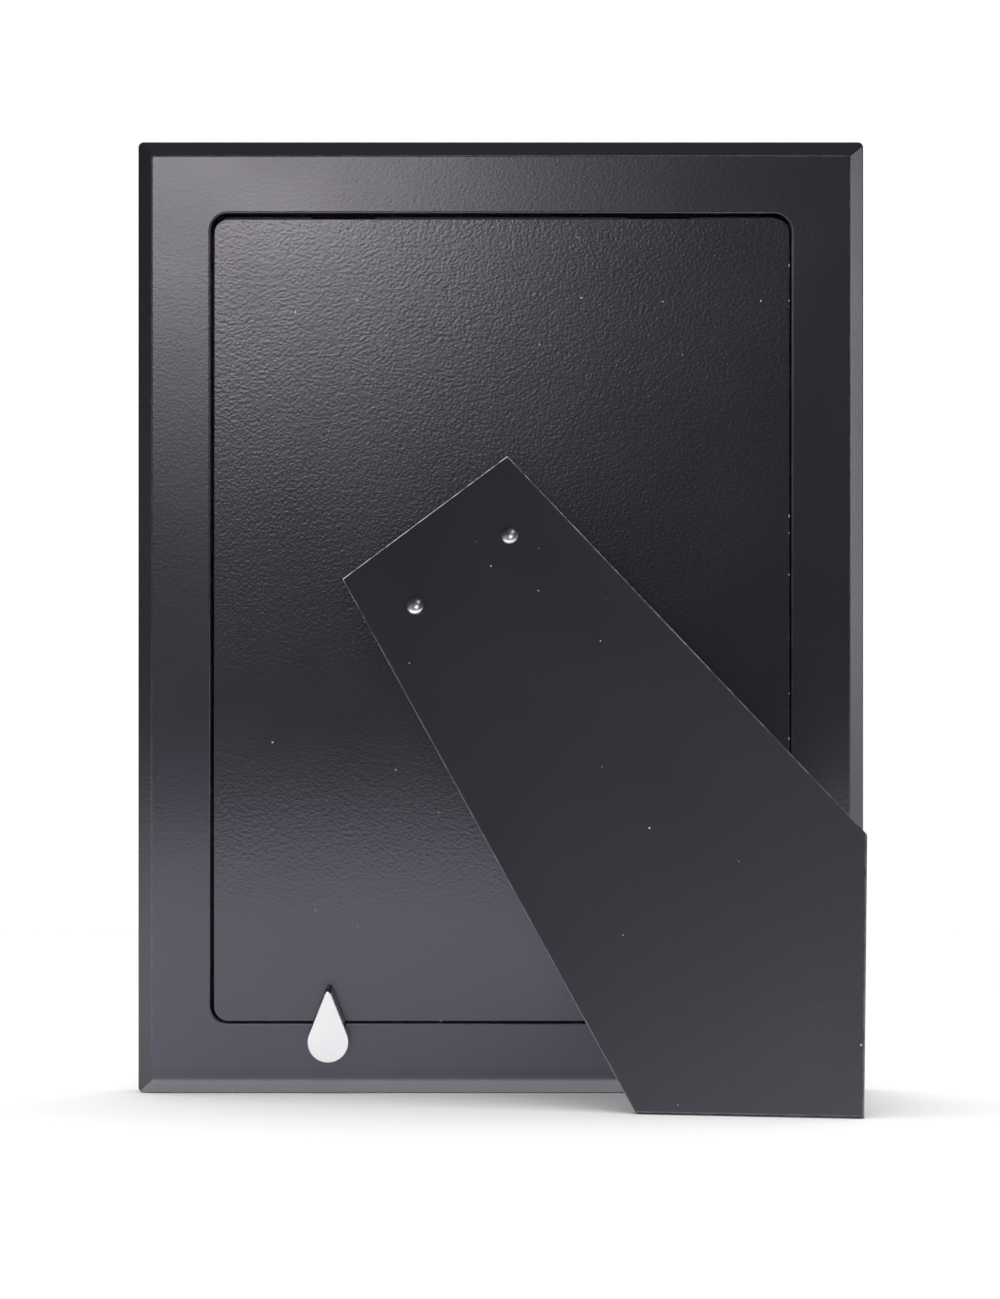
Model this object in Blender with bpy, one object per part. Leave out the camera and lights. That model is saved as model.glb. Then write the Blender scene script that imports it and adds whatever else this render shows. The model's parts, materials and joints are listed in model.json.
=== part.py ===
"""Tabletop picture frame for a 5 x 7 inch print, standing on its easel leg.

The frame is drawn upright in its own axes and then leaned back: X runs across, Y runs
out of the back and Z runs up the back. Y = 0 is the flat rear face of the frame body.
The leg hangs from a pivot empty on the hinge axis, and the turn button from one on its stud.
"""
import math

import bmesh
import bpy
from mathutils import Vector

MM = 0.001
CLEARANCE = 0.3 * MM
HEAD_GAP = 0.1 * MM

# Frame body, routed from one board
FRAME_WIDTH = 161.0 * MM
FRAME_HEIGHT = 211.0 * MM
FRAME_DEPTH = 16.0 * MM
CHAMFER_RUN = 3.4 * MM
CHAMFER_DEPTH = 3.0 * MM
OUTER_RADIUS = 1.2 * MM
MITRE_RADIUS = 0.25 * MM
ARRIS_RADIUS = 0.4 * MM
RECESS_WIDTH = 128.3 * MM
RECESS_HEIGHT = 178.8 * MM
RECESS_RADIUS = 3.9 * MM
SIGHT_WIDTH = 117.0 * MM
SIGHT_HEIGHT = 167.0 * MM
SIGHT_BEVEL = 3.0 * MM
CENTRE_HEIGHT = FRAME_HEIGHT / 2

# Layers in the recess, counted from the rear face towards the picture
PANEL_WIDTH = 127.2 * MM
PANEL_HEIGHT = 177.3 * MM
PANEL_THICKNESS = 3.0 * MM
PANEL_RADIUS = 3.2 * MM
PANEL_SIDE_SHIFT = -0.2 * MM
FILLER_THICKNESS = 1.8 * MM
PRINT_THICKNESS = 0.3 * MM
GLASS_THICKNESS = 2.0 * MM
SHEET_WIDTH = 127.0 * MM
SHEET_HEIGHT = 177.8 * MM
SHEET_RADIUS = 3.6 * MM

PANEL_BACK = -CLEARANCE
PANEL_FRONT = PANEL_BACK - PANEL_THICKNESS
FILLER_BACK = PANEL_FRONT - CLEARANCE
PRINT_BACK = FILLER_BACK - FILLER_THICKNESS - CLEARANCE
GLASS_BACK = PRINT_BACK - PRINT_THICKNESS - CLEARANCE
LIP_BACK = GLASS_BACK - GLASS_THICKNESS - CLEARANCE
RECESS_FLOOR = CENTRE_HEIGHT - RECESS_HEIGHT / 2
RECESS_TOP = CENTRE_HEIGHT + RECESS_HEIGHT / 2
PANEL_BOTTOM = RECESS_FLOOR + CLEARANCE
PANEL_CENTRE = PANEL_BOTTOM + PANEL_HEIGHT / 2

# Tongues on the panel's top edge and the slots that hold them
TONGUE_WIDTH = 14.0 * MM
TONGUE_THICKNESS = 1.2 * MM
TONGUE_OFFSET = 35.0 * MM
TONGUE_REACH = 2.5 * MM
TONGUE_ROOT = 6.0 * MM
SLOT_PLAY = 0.4 * MM

# Stance
LEAN = math.radians(10.4)
LEG_OPENING = math.radians(25.0)

# Hinge between the panel and the leg
HINGE_SLANT = math.radians(36.72)
HINGE_X = 11.67 * MM
HINGE_Z = 121.0 * MM
HINGE_Y = 1.6 * MM
HINGE_WIDTH = 38.0 * MM
KNUCKLE_RADIUS = 1.5 * MM
KNUCKLE_SPLIT = 9.0 * MM
LEAF_THICKNESS = 0.8 * MM
LEAF_LENGTH = 12.0 * MM
LEAF_INSET = 0.05 * MM
LEAF_NOTCH = 2.0 * MM
PIN_RADIUS = 0.6 * MM
PIN_HEAD_RADIUS = 1.1 * MM
PIN_HEAD = 0.5 * MM
LEAF_INNER = KNUCKLE_RADIUS - LEAF_INSET - LEAF_THICKNESS
LEAF_OUTER = KNUCKLE_RADIUS - LEAF_INSET

# Easel leg, drawn in the hinge's axes with Z up the leg
LEG_THICKNESS = 2.0 * MM
LEG_TOP_WIDTH = 45.3 * MM
LEG_LEFT_FLARE = math.radians(5.3)
LEG_RIGHT_FLARE = math.radians(6.2)
LEG_SIDE_FOOT = 114.5 * MM
LEG_TIP_X = -1.3 * MM
LEG_EDGE = 0.2 * MM
LEG_INNER = KNUCKLE_RADIUS + CLEARANCE
LEG_OUTER = LEG_INNER + LEG_THICKNESS
LEG_HEEL = (HINGE_Y + LEG_INNER * math.cos(LEG_OPENING)) / math.sin(LEG_OPENING)

# Rivets
LEG_RIVET_X = 12.8 * MM
LEG_RIVET_Z = -8.1 * MM
PANEL_RIVET_X = 6.0 * MM
PANEL_RIVET_Z = -7.5 * MM
RIVET_RADIUS = 1.0 * MM
RIVET_HEAD_RADIUS = 2.02 * MM
RIVET_HEAD_HEIGHT = 1.3 * MM
RIVET_TAIL_RADIUS = 1.8 * MM
RIVET_TAIL = 0.5 * MM
RIVET_HOLE = RIVET_RADIUS + CLEARANCE
WASHER_RADIUS = 2.8 * MM
WASHER_THICKNESS = 0.4 * MM
COUNTERBORE_RADIUS = WASHER_RADIUS + CLEARANCE
COUNTERBORE_DEPTH = 1.5 * MM

# Turn button
BUTTON_X = 37.9 * MM
BUTTON_Z = 12.9 * MM
BUTTON_RADIUS = 4.6 * MM
BUTTON_TIP = 11.5 * MM
BUTTON_TIP_RADIUS = 0.8 * MM
BUTTON_BASE = CLEARANCE
BUTTON_TOP = 4.3 * MM
BUTTON_DRAFT = 0.1 * MM
BUTTON_EDGE = 0.2 * MM
STUD_RADIUS = 1.0 * MM
STUD_TOP = 2.8 * MM
STUD_BORE = STUD_RADIUS + CLEARANCE
STUD_BORE_TOP = STUD_TOP + CLEARANCE
STUD_FOOT_RADIUS = 1.55 * MM
STUD_FOOT = -7.6 * MM
STUD_FOOT_HEIGHT = 0.9 * MM
BUSH_RADIUS = 1.9 * MM
BUSH_TOP = -CLEARANCE
BUSH_BOTTOM = -6.3 * MM
BUSH_HOLE = BUSH_RADIUS + CLEARANCE
BUSH_HOLE_BOTTOM = -8.0 * MM

# Mesh fineness
CORNER_STEPS = 6
ARRIS_STEPS = 2
ROUND_SIDES = 32
SMALL_SIDES = 20
DOME_STEPS = 6
OVERCUT = 2.0 * MM


# ---------------------------------------------------------------- outlines
def arc(centre_x, centre_z, radius, start, end, steps):
    """Points along an arc, angles in radians, both ends included."""
    angles = [start + (end - start) * i / steps for i in range(steps + 1)]
    return [(centre_x + radius * math.cos(a), centre_z + radius * math.sin(a)) for a in angles]


def rounded_rectangle(width, height, radius, centre_x=0.0, centre_z=0.0):
    """Outline of a rectangle with round corners, as X-Z points."""
    points = []
    inner_x = width / 2 - radius
    inner_z = height / 2 - radius
    for quarter, (side_x, side_z) in enumerate(((1, 1), (-1, 1), (-1, -1), (1, -1))):
        start = quarter * math.pi / 2
        points += arc(centre_x + side_x * inner_x, centre_z + side_z * inner_z,
                      radius, start, start + math.pi / 2, CORNER_STEPS)
    return points


def circle(radius, sides, centre_x=0.0, centre_z=0.0):
    """Outline of a circle, as X-Z points."""
    return arc(centre_x, centre_z, radius, 0.0, 2 * math.pi * (sides - 1) / sides, sides - 1)


def teardrop(radius, tip, tip_radius):
    """Round end about the origin, with straight flanks that meet in a small round tip at +Z."""
    tip_centre = tip - tip_radius
    flank = math.asin((radius - tip_radius) / tip_centre)
    point = arc(0.0, tip_centre, tip_radius, flank, math.pi - flank, CORNER_STEPS)
    return point + arc(0.0, 0.0, radius, math.pi - flank, 2 * math.pi + flank, ROUND_SIDES)


def soften(profile, radius):
    """Round the inner corners of an open profile and drop its two guide ends."""
    softened = []
    for before, corner, after in zip(profile, profile[1:], profile[2:]):
        to_before = (Vector(before) - Vector(corner)).normalized()
        to_after = (Vector(after) - Vector(corner)).normalized()
        half = to_before.angle(to_after) / 2
        setback = radius / math.tan(half)
        middle = Vector(corner) + (to_before + to_after).normalized() * radius / math.sin(half)
        first = Vector(corner) + to_before * setback - middle
        last = Vector(corner) + to_after * setback - middle
        for step in range(ARRIS_STEPS + 1):
            spoke = first.lerp(last, step / ARRIS_STEPS).normalized()
            softened.append(tuple(middle + spoke * radius))
    return softened


# ---------------------------------------------------------------- building tools
def clear_scene():
    """Remove every object of the scene."""
    for obj in list(bpy.data.objects):
        bpy.data.objects.remove(obj, do_unlink=True)


def make_material(name, colour, roughness, metallic=0.0, transmission=0.0):
    """One Principled material."""
    material = bpy.data.materials.new(name)
    material.use_nodes = True
    shader = material.node_tree.nodes["Principled BSDF"]
    shader.inputs["Base Color"].default_value = (*colour, 1.0)
    shader.inputs["Roughness"].default_value = roughness
    shader.inputs["Metallic"].default_value = metallic
    shader.inputs["Transmission Weight"].default_value = transmission
    return material


def add_empty(name, location, rotation, parent=None):
    """An empty that carries an assembly or lies on a joint axis."""
    empty = bpy.data.objects.new(name, None)
    empty.location = location
    empty.rotation_euler = rotation
    empty.parent = parent
    bpy.context.collection.objects.link(empty)
    return empty


def add_object(name, mesh_builder, parent, material):
    """Finish a bmesh as an object with outward faces and smooth round sides."""
    bmesh.ops.recalc_face_normals(mesh_builder, faces=mesh_builder.faces)
    mesh = bpy.data.meshes.new(name)
    mesh_builder.to_mesh(mesh)
    mesh_builder.free()
    mesh.shade_smooth()
    mesh.set_sharp_from_angle(angle=math.radians(35))
    obj = bpy.data.objects.new(name, mesh)
    obj.parent = parent
    if material is not None:
        obj.data.materials.append(material)
    bpy.context.collection.objects.link(obj)
    return obj


def loft(name, sections, parent, material, ring=False, along="Y"):
    """Join outlines of equal length, given as (position, outline), into one closed solid.

    A ring joins the last section to the first; otherwise both ends are capped.
    """
    builder = bmesh.new()
    loops = []
    for position, outline in sections:
        if along == "Y":
            loops.append([builder.verts.new((x, position, z)) for x, z in outline])
        else:
            loops.append([builder.verts.new((position, y, z)) for y, z in outline])
    pairs = list(zip(loops, loops[1:]))
    if ring:
        pairs.append((loops[-1], loops[0]))
    else:
        builder.faces.new(loops[0])
        builder.faces.new(loops[-1])
    for first, second in pairs:
        for i, vert in enumerate(first):
            j = (i + 1) % len(first)
            builder.faces.new((vert, first[j], second[j], second[i]))
    return add_object(name, builder, parent, material)


def rod(name, sections, sides, parent, material, place=(0.0, 0.0), along="Y"):
    """Solid turned along an axis, from (position, radius) pairs."""
    outlines = [(position, circle(radius, sides, *place)) for position, radius in sections]
    return loft(name, outlines, parent, material, along=along)


def tube(name, start, end, inner, outer, sides, parent, material, place=(0.0, 0.0)):
    """Plain ring along Y."""
    outlines = [(start, circle(inner, sides, *place)), (start, circle(outer, sides, *place)),
                (end, circle(outer, sides, *place)), (end, circle(inner, sides, *place))]
    return loft(name, outlines, parent, material, ring=True)


def block(name, low, high, parent, material=None):
    """Rectangular block between two corners."""
    outline = [(low[0], low[2]), (high[0], low[2]), (high[0], high[2]), (low[0], high[2])]
    return loft(name, [(low[1], outline), (high[1], outline)], parent, material)


def combine(target, tool, operation):
    """Cut a tool from a target, or unite it with the target, and hide the tool."""
    tool.hide_render = True
    tool.display_type = "WIRE"
    modifier = target.modifiers.new(operation.lower(), "BOOLEAN")
    modifier.operation = operation
    modifier.solver = "EXACT"
    modifier.object = tool


# ---------------------------------------------------------------- frame and its layers
def frame_sections():
    """Sections of the frame body, from the rear face round the outside and back to the recess."""
    front = -FRAME_DEPTH
    guide = 2 * CHAMFER_RUN
    outside = [(guide, 0.0), (CHAMFER_RUN, 0.0), (0.0, -CHAMFER_DEPTH),
               (0.0, front + CHAMFER_DEPTH), (CHAMFER_RUN, front), (guide, front)]
    sight = [(guide, front), (SIGHT_BEVEL, front), (0.0, front + SIGHT_BEVEL),
             (0.0, LIP_BACK), (guide, LIP_BACK)]
    recess = [(0.0, LIP_BACK), (0.0, 0.0), (guide, 0.0)]
    sections = []
    for inset, depth in soften(outside, ARRIS_RADIUS):
        radius = max(OUTER_RADIUS - inset, MITRE_RADIUS)
        outline = rounded_rectangle(FRAME_WIDTH - 2 * inset, FRAME_HEIGHT - 2 * inset, radius,
                                    centre_z=CENTRE_HEIGHT)
        sections.append((depth, outline))
    for outset, depth in soften(sight, ARRIS_RADIUS):
        outline = rounded_rectangle(SIGHT_WIDTH + 2 * outset, SIGHT_HEIGHT + 2 * outset,
                                    MITRE_RADIUS, centre_z=CENTRE_HEIGHT)
        sections.append((depth, outline))
    for outset, depth in recess[:1] + soften(recess, ARRIS_RADIUS):
        outline = rounded_rectangle(RECESS_WIDTH + 2 * outset, RECESS_HEIGHT + 2 * outset,
                                    RECESS_RADIUS + outset, centre_z=CENTRE_HEIGHT)
        sections.append((depth, outline))
    return sections


def build_frame_body(root, material):
    """Chamfered body with the stepped recess, the tongue slots and the bush hole."""
    body = loft("frame_body", frame_sections(), root, material, ring=True)
    slot_half = TONGUE_WIDTH / 2 + SLOT_PLAY
    slot_top = RECESS_TOP + TONGUE_REACH + SLOT_PLAY
    slot_back = PANEL_FRONT + TONGUE_THICKNESS + CLEARANCE
    for side in (-1, 1):
        middle = side * TONGUE_OFFSET
        slot = block(f"slot_cutter_{side}",
                     (middle - slot_half, PANEL_FRONT - CLEARANCE, RECESS_TOP - OVERCUT),
                     (middle + slot_half, slot_back, slot_top), root)
        combine(body, slot, "DIFFERENCE")
    hole = rod("bush_cutter", [(BUSH_HOLE_BOTTOM, BUSH_HOLE), (OVERCUT, BUSH_HOLE)],
               SMALL_SIDES, root, None, place=(BUTTON_X, BUTTON_Z))
    combine(body, hole, "DIFFERENCE")


def build_sheet(name, back, thickness, root, material):
    """A flat sheet that fills the recess."""
    outline = rounded_rectangle(SHEET_WIDTH, SHEET_HEIGHT, SHEET_RADIUS, centre_z=CENTRE_HEIGHT)
    loft(name, [(back, outline), (back - thickness, outline)], root, material)


def build_panel(root, hinge_base, material):
    """Back panel with softened rear edges, two tongues and the hinge's rivet holes."""
    profile = [(2 * ARRIS_RADIUS, PANEL_BACK), (0.0, PANEL_BACK), (0.0, PANEL_FRONT)]
    sections = []
    for inset, depth in soften(profile, ARRIS_RADIUS) + profile[-1:]:
        outline = rounded_rectangle(PANEL_WIDTH - 2 * inset, PANEL_HEIGHT - 2 * inset,
                                    PANEL_RADIUS - inset, PANEL_SIDE_SHIFT, PANEL_CENTRE)
        sections.append((depth, outline))
    panel = loft("back_panel", sections, root, material)
    panel_top = PANEL_BOTTOM + PANEL_HEIGHT
    for side in (-1, 1):
        middle = side * TONGUE_OFFSET
        tongue = block(f"tongue_{side}",
                       (middle - TONGUE_WIDTH / 2, PANEL_FRONT, panel_top - TONGUE_ROOT),
                       (middle + TONGUE_WIDTH / 2, PANEL_FRONT + TONGUE_THICKNESS,
                        RECESS_TOP + TONGUE_REACH), root)
        combine(panel, tongue, "UNION")
    inner_face = PANEL_FRONT - HINGE_Y
    for side in (-1, 1):
        place = (side * PANEL_RIVET_X, PANEL_RIVET_Z)
        hole = rod(f"panel_hole_cutter_{side}", [(inner_face - OVERCUT, RIVET_HOLE), (0.0, RIVET_HOLE)],
                   SMALL_SIDES, hinge_base, None, place=place)
        combine(panel, hole, "DIFFERENCE")
        counterbore = rod(f"counterbore_cutter_{side}",
                          [(inner_face - OVERCUT, COUNTERBORE_RADIUS),
                           (inner_face + COUNTERBORE_DEPTH, COUNTERBORE_RADIUS)],
                          SMALL_SIDES, hinge_base, None, place=place)
        combine(panel, counterbore, "DIFFERENCE")


# ---------------------------------------------------------------- hinge and leg
def dome_profile(base, radius, height):
    """(position, radius) pairs of a domed head that rises from its base."""
    profile = []
    for step in range(DOME_STEPS):
        angle = step / DOME_STEPS * math.pi / 2
        profile.append((base + height * math.sin(angle), radius * math.cos(angle)))
    return profile


def build_leaf(name, plate_low, plate_high, knuckles, notches, rivet_holes, parent, material):
    """Hinge leaf: a plate with its knuckles, notched clear of the other leaf's knuckles."""
    half = HINGE_WIDTH / 2
    leaf = block(name, (-half, plate_low, -LEAF_LENGTH), (half, plate_high, 0.0), parent, material)
    for index, (start, end) in enumerate(notches):
        notch = block(f"{name}_notch_{index}", (start, plate_low - OVERCUT, -LEAF_NOTCH),
                      (end, plate_high + OVERCUT, OVERCUT), parent)
        combine(leaf, notch, "DIFFERENCE")
    for index, (start, end) in enumerate(knuckles):
        knuckle = rod(f"{name}_knuckle_{index}", [(start, KNUCKLE_RADIUS), (end, KNUCKLE_RADIUS)],
                      SMALL_SIDES, parent, None, along="X")
        combine(leaf, knuckle, "UNION")
    bore = rod(f"{name}_bore", [(-half - OVERCUT, PIN_RADIUS + CLEARANCE),
                                (half + OVERCUT, PIN_RADIUS + CLEARANCE)],
               SMALL_SIDES, parent, None, along="X")
    combine(leaf, bore, "DIFFERENCE")
    for index, place in enumerate(rivet_holes):
        hole = rod(f"{name}_hole_{index}", [(plate_low - OVERCUT, RIVET_HOLE),
                                            (plate_high + OVERCUT, RIVET_HOLE)],
                   SMALL_SIDES, parent, None, place=place)
        combine(leaf, hole, "DIFFERENCE")


def build_panel_side(hinge_base, steel):
    """Leaf, pin, rivets and rivet washers that stay with the panel."""
    half = HINGE_WIDTH / 2
    split = KNUCKLE_SPLIT + CLEARANCE
    places = [(side * PANEL_RIVET_X, PANEL_RIVET_Z) for side in (1, -1)]
    build_leaf("hinge_panel_leaf", -LEAF_OUTER, -LEAF_INNER, [(-half, -split), (split, half)],
               [(-split, split)], places, hinge_base, steel)
    shoulder = half + CLEARANCE
    rod("hinge_pin", [(-shoulder - PIN_HEAD, PIN_HEAD_RADIUS), (-shoulder, PIN_HEAD_RADIUS),
                      (-shoulder, PIN_RADIUS), (shoulder, PIN_RADIUS),
                      (shoulder, PIN_HEAD_RADIUS), (shoulder + PIN_HEAD, PIN_HEAD_RADIUS)],
        SMALL_SIDES, hinge_base, steel, along="X")
    head = -LEAF_INNER + HEAD_GAP
    seat = PANEL_FRONT - HINGE_Y + COUNTERBORE_DEPTH - HEAD_GAP
    tail = seat - WASHER_THICKNESS - HEAD_GAP
    for place, side in zip(places, ("left", "right")):
        rod(f"panel_rivet_{side}",
            [(tail - RIVET_TAIL, RIVET_TAIL_RADIUS), (tail, RIVET_TAIL_RADIUS),
             (tail, RIVET_RADIUS), (head, RIVET_RADIUS),
             (head, RIVET_TAIL_RADIUS), (head + RIVET_TAIL, RIVET_RADIUS)],
            SMALL_SIDES, hinge_base, steel, place=place)
        tube(f"rivet_washer_{side}", seat - WASHER_THICKNESS, seat, RIVET_HOLE, WASHER_RADIUS,
             SMALL_SIDES, hinge_base, steel, place=place)


def foot_line(leg_pivot):
    """Height up the leg, as (offset, slope) over X, where its inner face meets the table."""
    row = leg_pivot.matrix_world[2]
    offset = -(row[1] * LEG_INNER + row[3]) / row[2]
    return offset, -row[0] / row[2]


def leg_outline(leg_pivot):
    """Five corners of the leg: top edge, a foot for each way up, and the tip between them."""
    half = LEG_TOP_WIDTH / 2
    offset, slope = foot_line(leg_pivot)
    left = math.tan(LEG_LEFT_FLARE)
    right = math.tan(LEG_RIGHT_FLARE)
    heel_x = (half + (LEG_HEEL - offset) * left) / (1 + slope * left)
    return [(half, LEG_HEEL), (-half, LEG_HEEL),
            (-half - LEG_SIDE_FOOT * right, LEG_HEEL - LEG_SIDE_FOOT),
            (LEG_TIP_X, offset + slope * LEG_TIP_X),
            (heel_x, offset + slope * heel_x)]


def build_leg(leg_pivot, board, steel):
    """Flared leg with its hinge leaf and two domed rivets."""
    outline = leg_outline(leg_pivot)
    leg = loft("easel_leg", [(LEG_INNER, outline), (LEG_OUTER, outline)], leg_pivot, board)
    edge = leg.modifiers.new("edges", "BEVEL")
    edge.width = LEG_EDGE
    edge.segments = 2
    places = [(side * LEG_RIVET_X, LEG_RIVET_Z) for side in (1, -1)]
    half = HINGE_WIDTH / 2
    build_leaf("hinge_leg_leaf", LEAF_INNER, LEAF_OUTER, [(-KNUCKLE_SPLIT, KNUCKLE_SPLIT)],
               [(-half - OVERCUT, -KNUCKLE_SPLIT), (KNUCKLE_SPLIT, half + OVERCUT)],
               places, leg_pivot, steel)
    head = LEG_OUTER + HEAD_GAP
    tail = LEAF_INNER - HEAD_GAP
    for place, side in zip(places, ("left", "right")):
        hole = rod(f"leg_hole_cutter_{side}", [(LEG_INNER - OVERCUT, RIVET_HOLE),
                                               (LEG_OUTER + OVERCUT, RIVET_HOLE)],
                   SMALL_SIDES, leg_pivot, None, place=place)
        combine(leg, hole, "DIFFERENCE")
        rod(f"leg_rivet_{side}",
            [(tail - RIVET_TAIL, RIVET_RADIUS), (tail, RIVET_TAIL_RADIUS), (tail, RIVET_RADIUS),
             (head, RIVET_RADIUS)] + dome_profile(head, RIVET_HEAD_RADIUS, RIVET_HEAD_HEIGHT),
            ROUND_SIDES, leg_pivot, steel, place=place)


# ---------------------------------------------------------------- turn button
def build_turn_button(button_pivot, polished, brass, root):
    """Tapered teardrop on a stud that turns in a brass bush."""
    face = BUTTON_DRAFT + BUTTON_EDGE
    shapes = [(BUTTON_BASE, 0.0), (BUTTON_TOP - BUTTON_EDGE, BUTTON_DRAFT), (BUTTON_TOP, face)]
    sections = [(depth, teardrop(BUTTON_RADIUS - inset, BUTTON_TIP - inset * 1.6,
                                 BUTTON_TIP_RADIUS - inset * 0.6)) for depth, inset in shapes]
    button = loft("turn_button", sections, button_pivot, polished)
    bore = rod("stud_bore_cutter", [(BUTTON_BASE - OVERCUT, STUD_BORE), (STUD_BORE_TOP, STUD_BORE)],
               SMALL_SIDES, button_pivot, None)
    combine(button, bore, "DIFFERENCE")
    rod("button_stud",
        [(STUD_FOOT, STUD_RADIUS), (STUD_FOOT + STUD_FOOT_HEIGHT, STUD_FOOT_RADIUS),
         (STUD_FOOT + STUD_FOOT_HEIGHT, STUD_RADIUS), (STUD_TOP, STUD_RADIUS)],
        SMALL_SIDES, button_pivot, polished)
    tube("button_bush", BUSH_BOTTOM, BUSH_TOP, STUD_BORE, BUSH_RADIUS, SMALL_SIDES, root, brass,
         place=(BUTTON_X, BUTTON_Z))


# ---------------------------------------------------------------- placing
def stand_on_origin(root):
    """Move the whole object so that its box stands centred on the world origin."""
    depsgraph = bpy.context.evaluated_depsgraph_get()
    points = []
    for obj in bpy.context.scene.objects:
        if obj.type == "MESH" and not obj.hide_render:
            evaluated = obj.evaluated_get(depsgraph)
            points += [evaluated.matrix_world @ vert.co for vert in evaluated.data.vertices]
    depths = [point.y for point in points]
    root.location.y -= (min(depths) + max(depths)) / 2
    root.location.z -= min(point.z for point in points)


def build():
    """Model the whole picture frame."""
    clear_scene()
    lacquer = make_material("black_lacquer", (0.018, 0.018, 0.022), 0.38)
    grained = make_material("black_grained_board", (0.017, 0.017, 0.019), 0.5)
    leg_board = make_material("black_leg_board", (0.016, 0.016, 0.02), 0.45)
    steel = make_material("zinc_plated_steel", (0.62, 0.62, 0.63), 0.3, metallic=1.0)
    polished = make_material("polished_nickel", (0.85, 0.84, 0.82), 0.15, metallic=1.0)
    brass = make_material("turned_brass", (0.75, 0.58, 0.28), 0.3, metallic=1.0)
    glass = make_material("clear_glass", (0.95, 0.98, 0.97), 0.02, transmission=1.0)
    paper = make_material("print_paper", (0.8, 0.8, 0.78), 0.6)
    card = make_material("dark_card", (0.05, 0.047, 0.043), 0.9)

    contact_drop = CHAMFER_DEPTH * math.sin(LEAN)
    root = add_empty("frame_lean", (0.0, 0.0, -contact_drop), (-LEAN, 0.0, 0.0))
    hinge_place = (HINGE_X, HINGE_Y, HINGE_Z)
    hinge_base = add_empty("hinge_base", hinge_place, (0.0, HINGE_SLANT, 0.0), root)
    leg_pivot = add_empty("leg_pivot", hinge_place, (LEG_OPENING, HINGE_SLANT, 0.0), root)
    button_pivot = add_empty("button_pivot", (BUTTON_X, 0.0, BUTTON_Z), (0.0, 0.0, 0.0), root)
    bpy.context.view_layer.update()

    build_frame_body(root, lacquer)
    build_sheet("front_glass", GLASS_BACK, GLASS_THICKNESS, root, glass)
    build_sheet("photo_print", PRINT_BACK, PRINT_THICKNESS, root, paper)
    build_sheet("filler_card", FILLER_BACK, FILLER_THICKNESS, root, card)
    build_panel(root, hinge_base, grained)
    build_panel_side(hinge_base, steel)
    build_leg(leg_pivot, leg_board, steel)
    build_turn_button(button_pivot, polished, brass, root)
    stand_on_origin(root)


build()
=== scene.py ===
"""Finished surfaces of a leaning tabletop photo frame, and a small white studio round it.

The packed model fixes every size and place. Each operator makes one piece or one group of like
pieces in its own axes, X across, Y out of the back and Z up, and sets it where the model has it.
"""
import json
import math

import bmesh
import bpy
from bpy.props import FloatProperty, FloatVectorProperty, PointerProperty
from mathutils import Matrix, Vector
from mathutils.geometry import convex_hull_2d


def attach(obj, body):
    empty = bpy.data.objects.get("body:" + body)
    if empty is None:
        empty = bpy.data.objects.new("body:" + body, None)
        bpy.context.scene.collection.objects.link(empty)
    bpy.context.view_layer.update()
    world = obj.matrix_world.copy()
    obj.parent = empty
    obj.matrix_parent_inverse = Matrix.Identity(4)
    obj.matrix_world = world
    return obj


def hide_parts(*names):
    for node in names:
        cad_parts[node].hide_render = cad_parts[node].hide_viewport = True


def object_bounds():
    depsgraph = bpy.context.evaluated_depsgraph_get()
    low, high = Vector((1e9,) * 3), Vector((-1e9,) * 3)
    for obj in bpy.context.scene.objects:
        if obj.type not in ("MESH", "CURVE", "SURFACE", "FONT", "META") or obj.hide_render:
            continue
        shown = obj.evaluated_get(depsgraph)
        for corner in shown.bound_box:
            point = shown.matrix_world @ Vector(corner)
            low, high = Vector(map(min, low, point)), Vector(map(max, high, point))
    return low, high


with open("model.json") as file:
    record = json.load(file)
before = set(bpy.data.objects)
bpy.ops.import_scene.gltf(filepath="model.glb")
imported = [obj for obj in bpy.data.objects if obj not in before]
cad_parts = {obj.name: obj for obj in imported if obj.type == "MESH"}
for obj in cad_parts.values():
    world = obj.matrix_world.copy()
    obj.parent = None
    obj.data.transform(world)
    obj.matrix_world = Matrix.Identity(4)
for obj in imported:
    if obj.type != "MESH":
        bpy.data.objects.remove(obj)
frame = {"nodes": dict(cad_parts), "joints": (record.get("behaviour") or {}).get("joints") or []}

bl_info = {
    "name": "Easel-back Photo Frame",
    "version": (1, 0, 0),
    "blender": (4, 5, 0),
    "location": "3D View > Sidebar > Photo Frame",
    "description": "Makes the finished surfaces of a leaning photo frame and a white studio",
    "category": "Object",
}

MM = 0.001
FIT_GAP = 0.3 * MM
CUT_MARGIN = 2.0 * MM
GUARD = 0.12 * MM
CORNER_STEPS = 14
ARRIS_STEPS = 4
ROUND_SIDES = 64
SMALL_SIDES = 48
SMOOTH_BELOW = math.radians(32)
ARRIS_MASK = "arris"
FACE_MASK = "face"
COATING_IOR = 1.68
COATING_GLINT = (0.93, 0.90, 1.0, 1.0)
WHITE = (1.0, 1.0, 1.0)

MODEL_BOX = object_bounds()
JOINTS = {joint["name"]: joint for joint in frame["joints"]}


# ---------------------------------------------------------------- places taken from the model
def own_axes(across, out, origin):
    """Matrix from a piece's own axes to the model's axes."""
    up = across.cross(out).normalized()
    turn = Matrix((across.normalized(), up.cross(across).normalized(), up)).transposed()
    return Matrix.Translation(origin) @ turn.to_4x4()


def node_extent(node, place):
    """Lowest and highest corner of a node, measured in a piece's own axes."""
    inverse = place.inverted()
    points = [inverse @ vert.co for vert in frame["nodes"][node].data.vertices]
    low = Vector([min(values) for values in zip(*points)])
    high = Vector([max(values) for values in zip(*points)])
    return low, high


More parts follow.
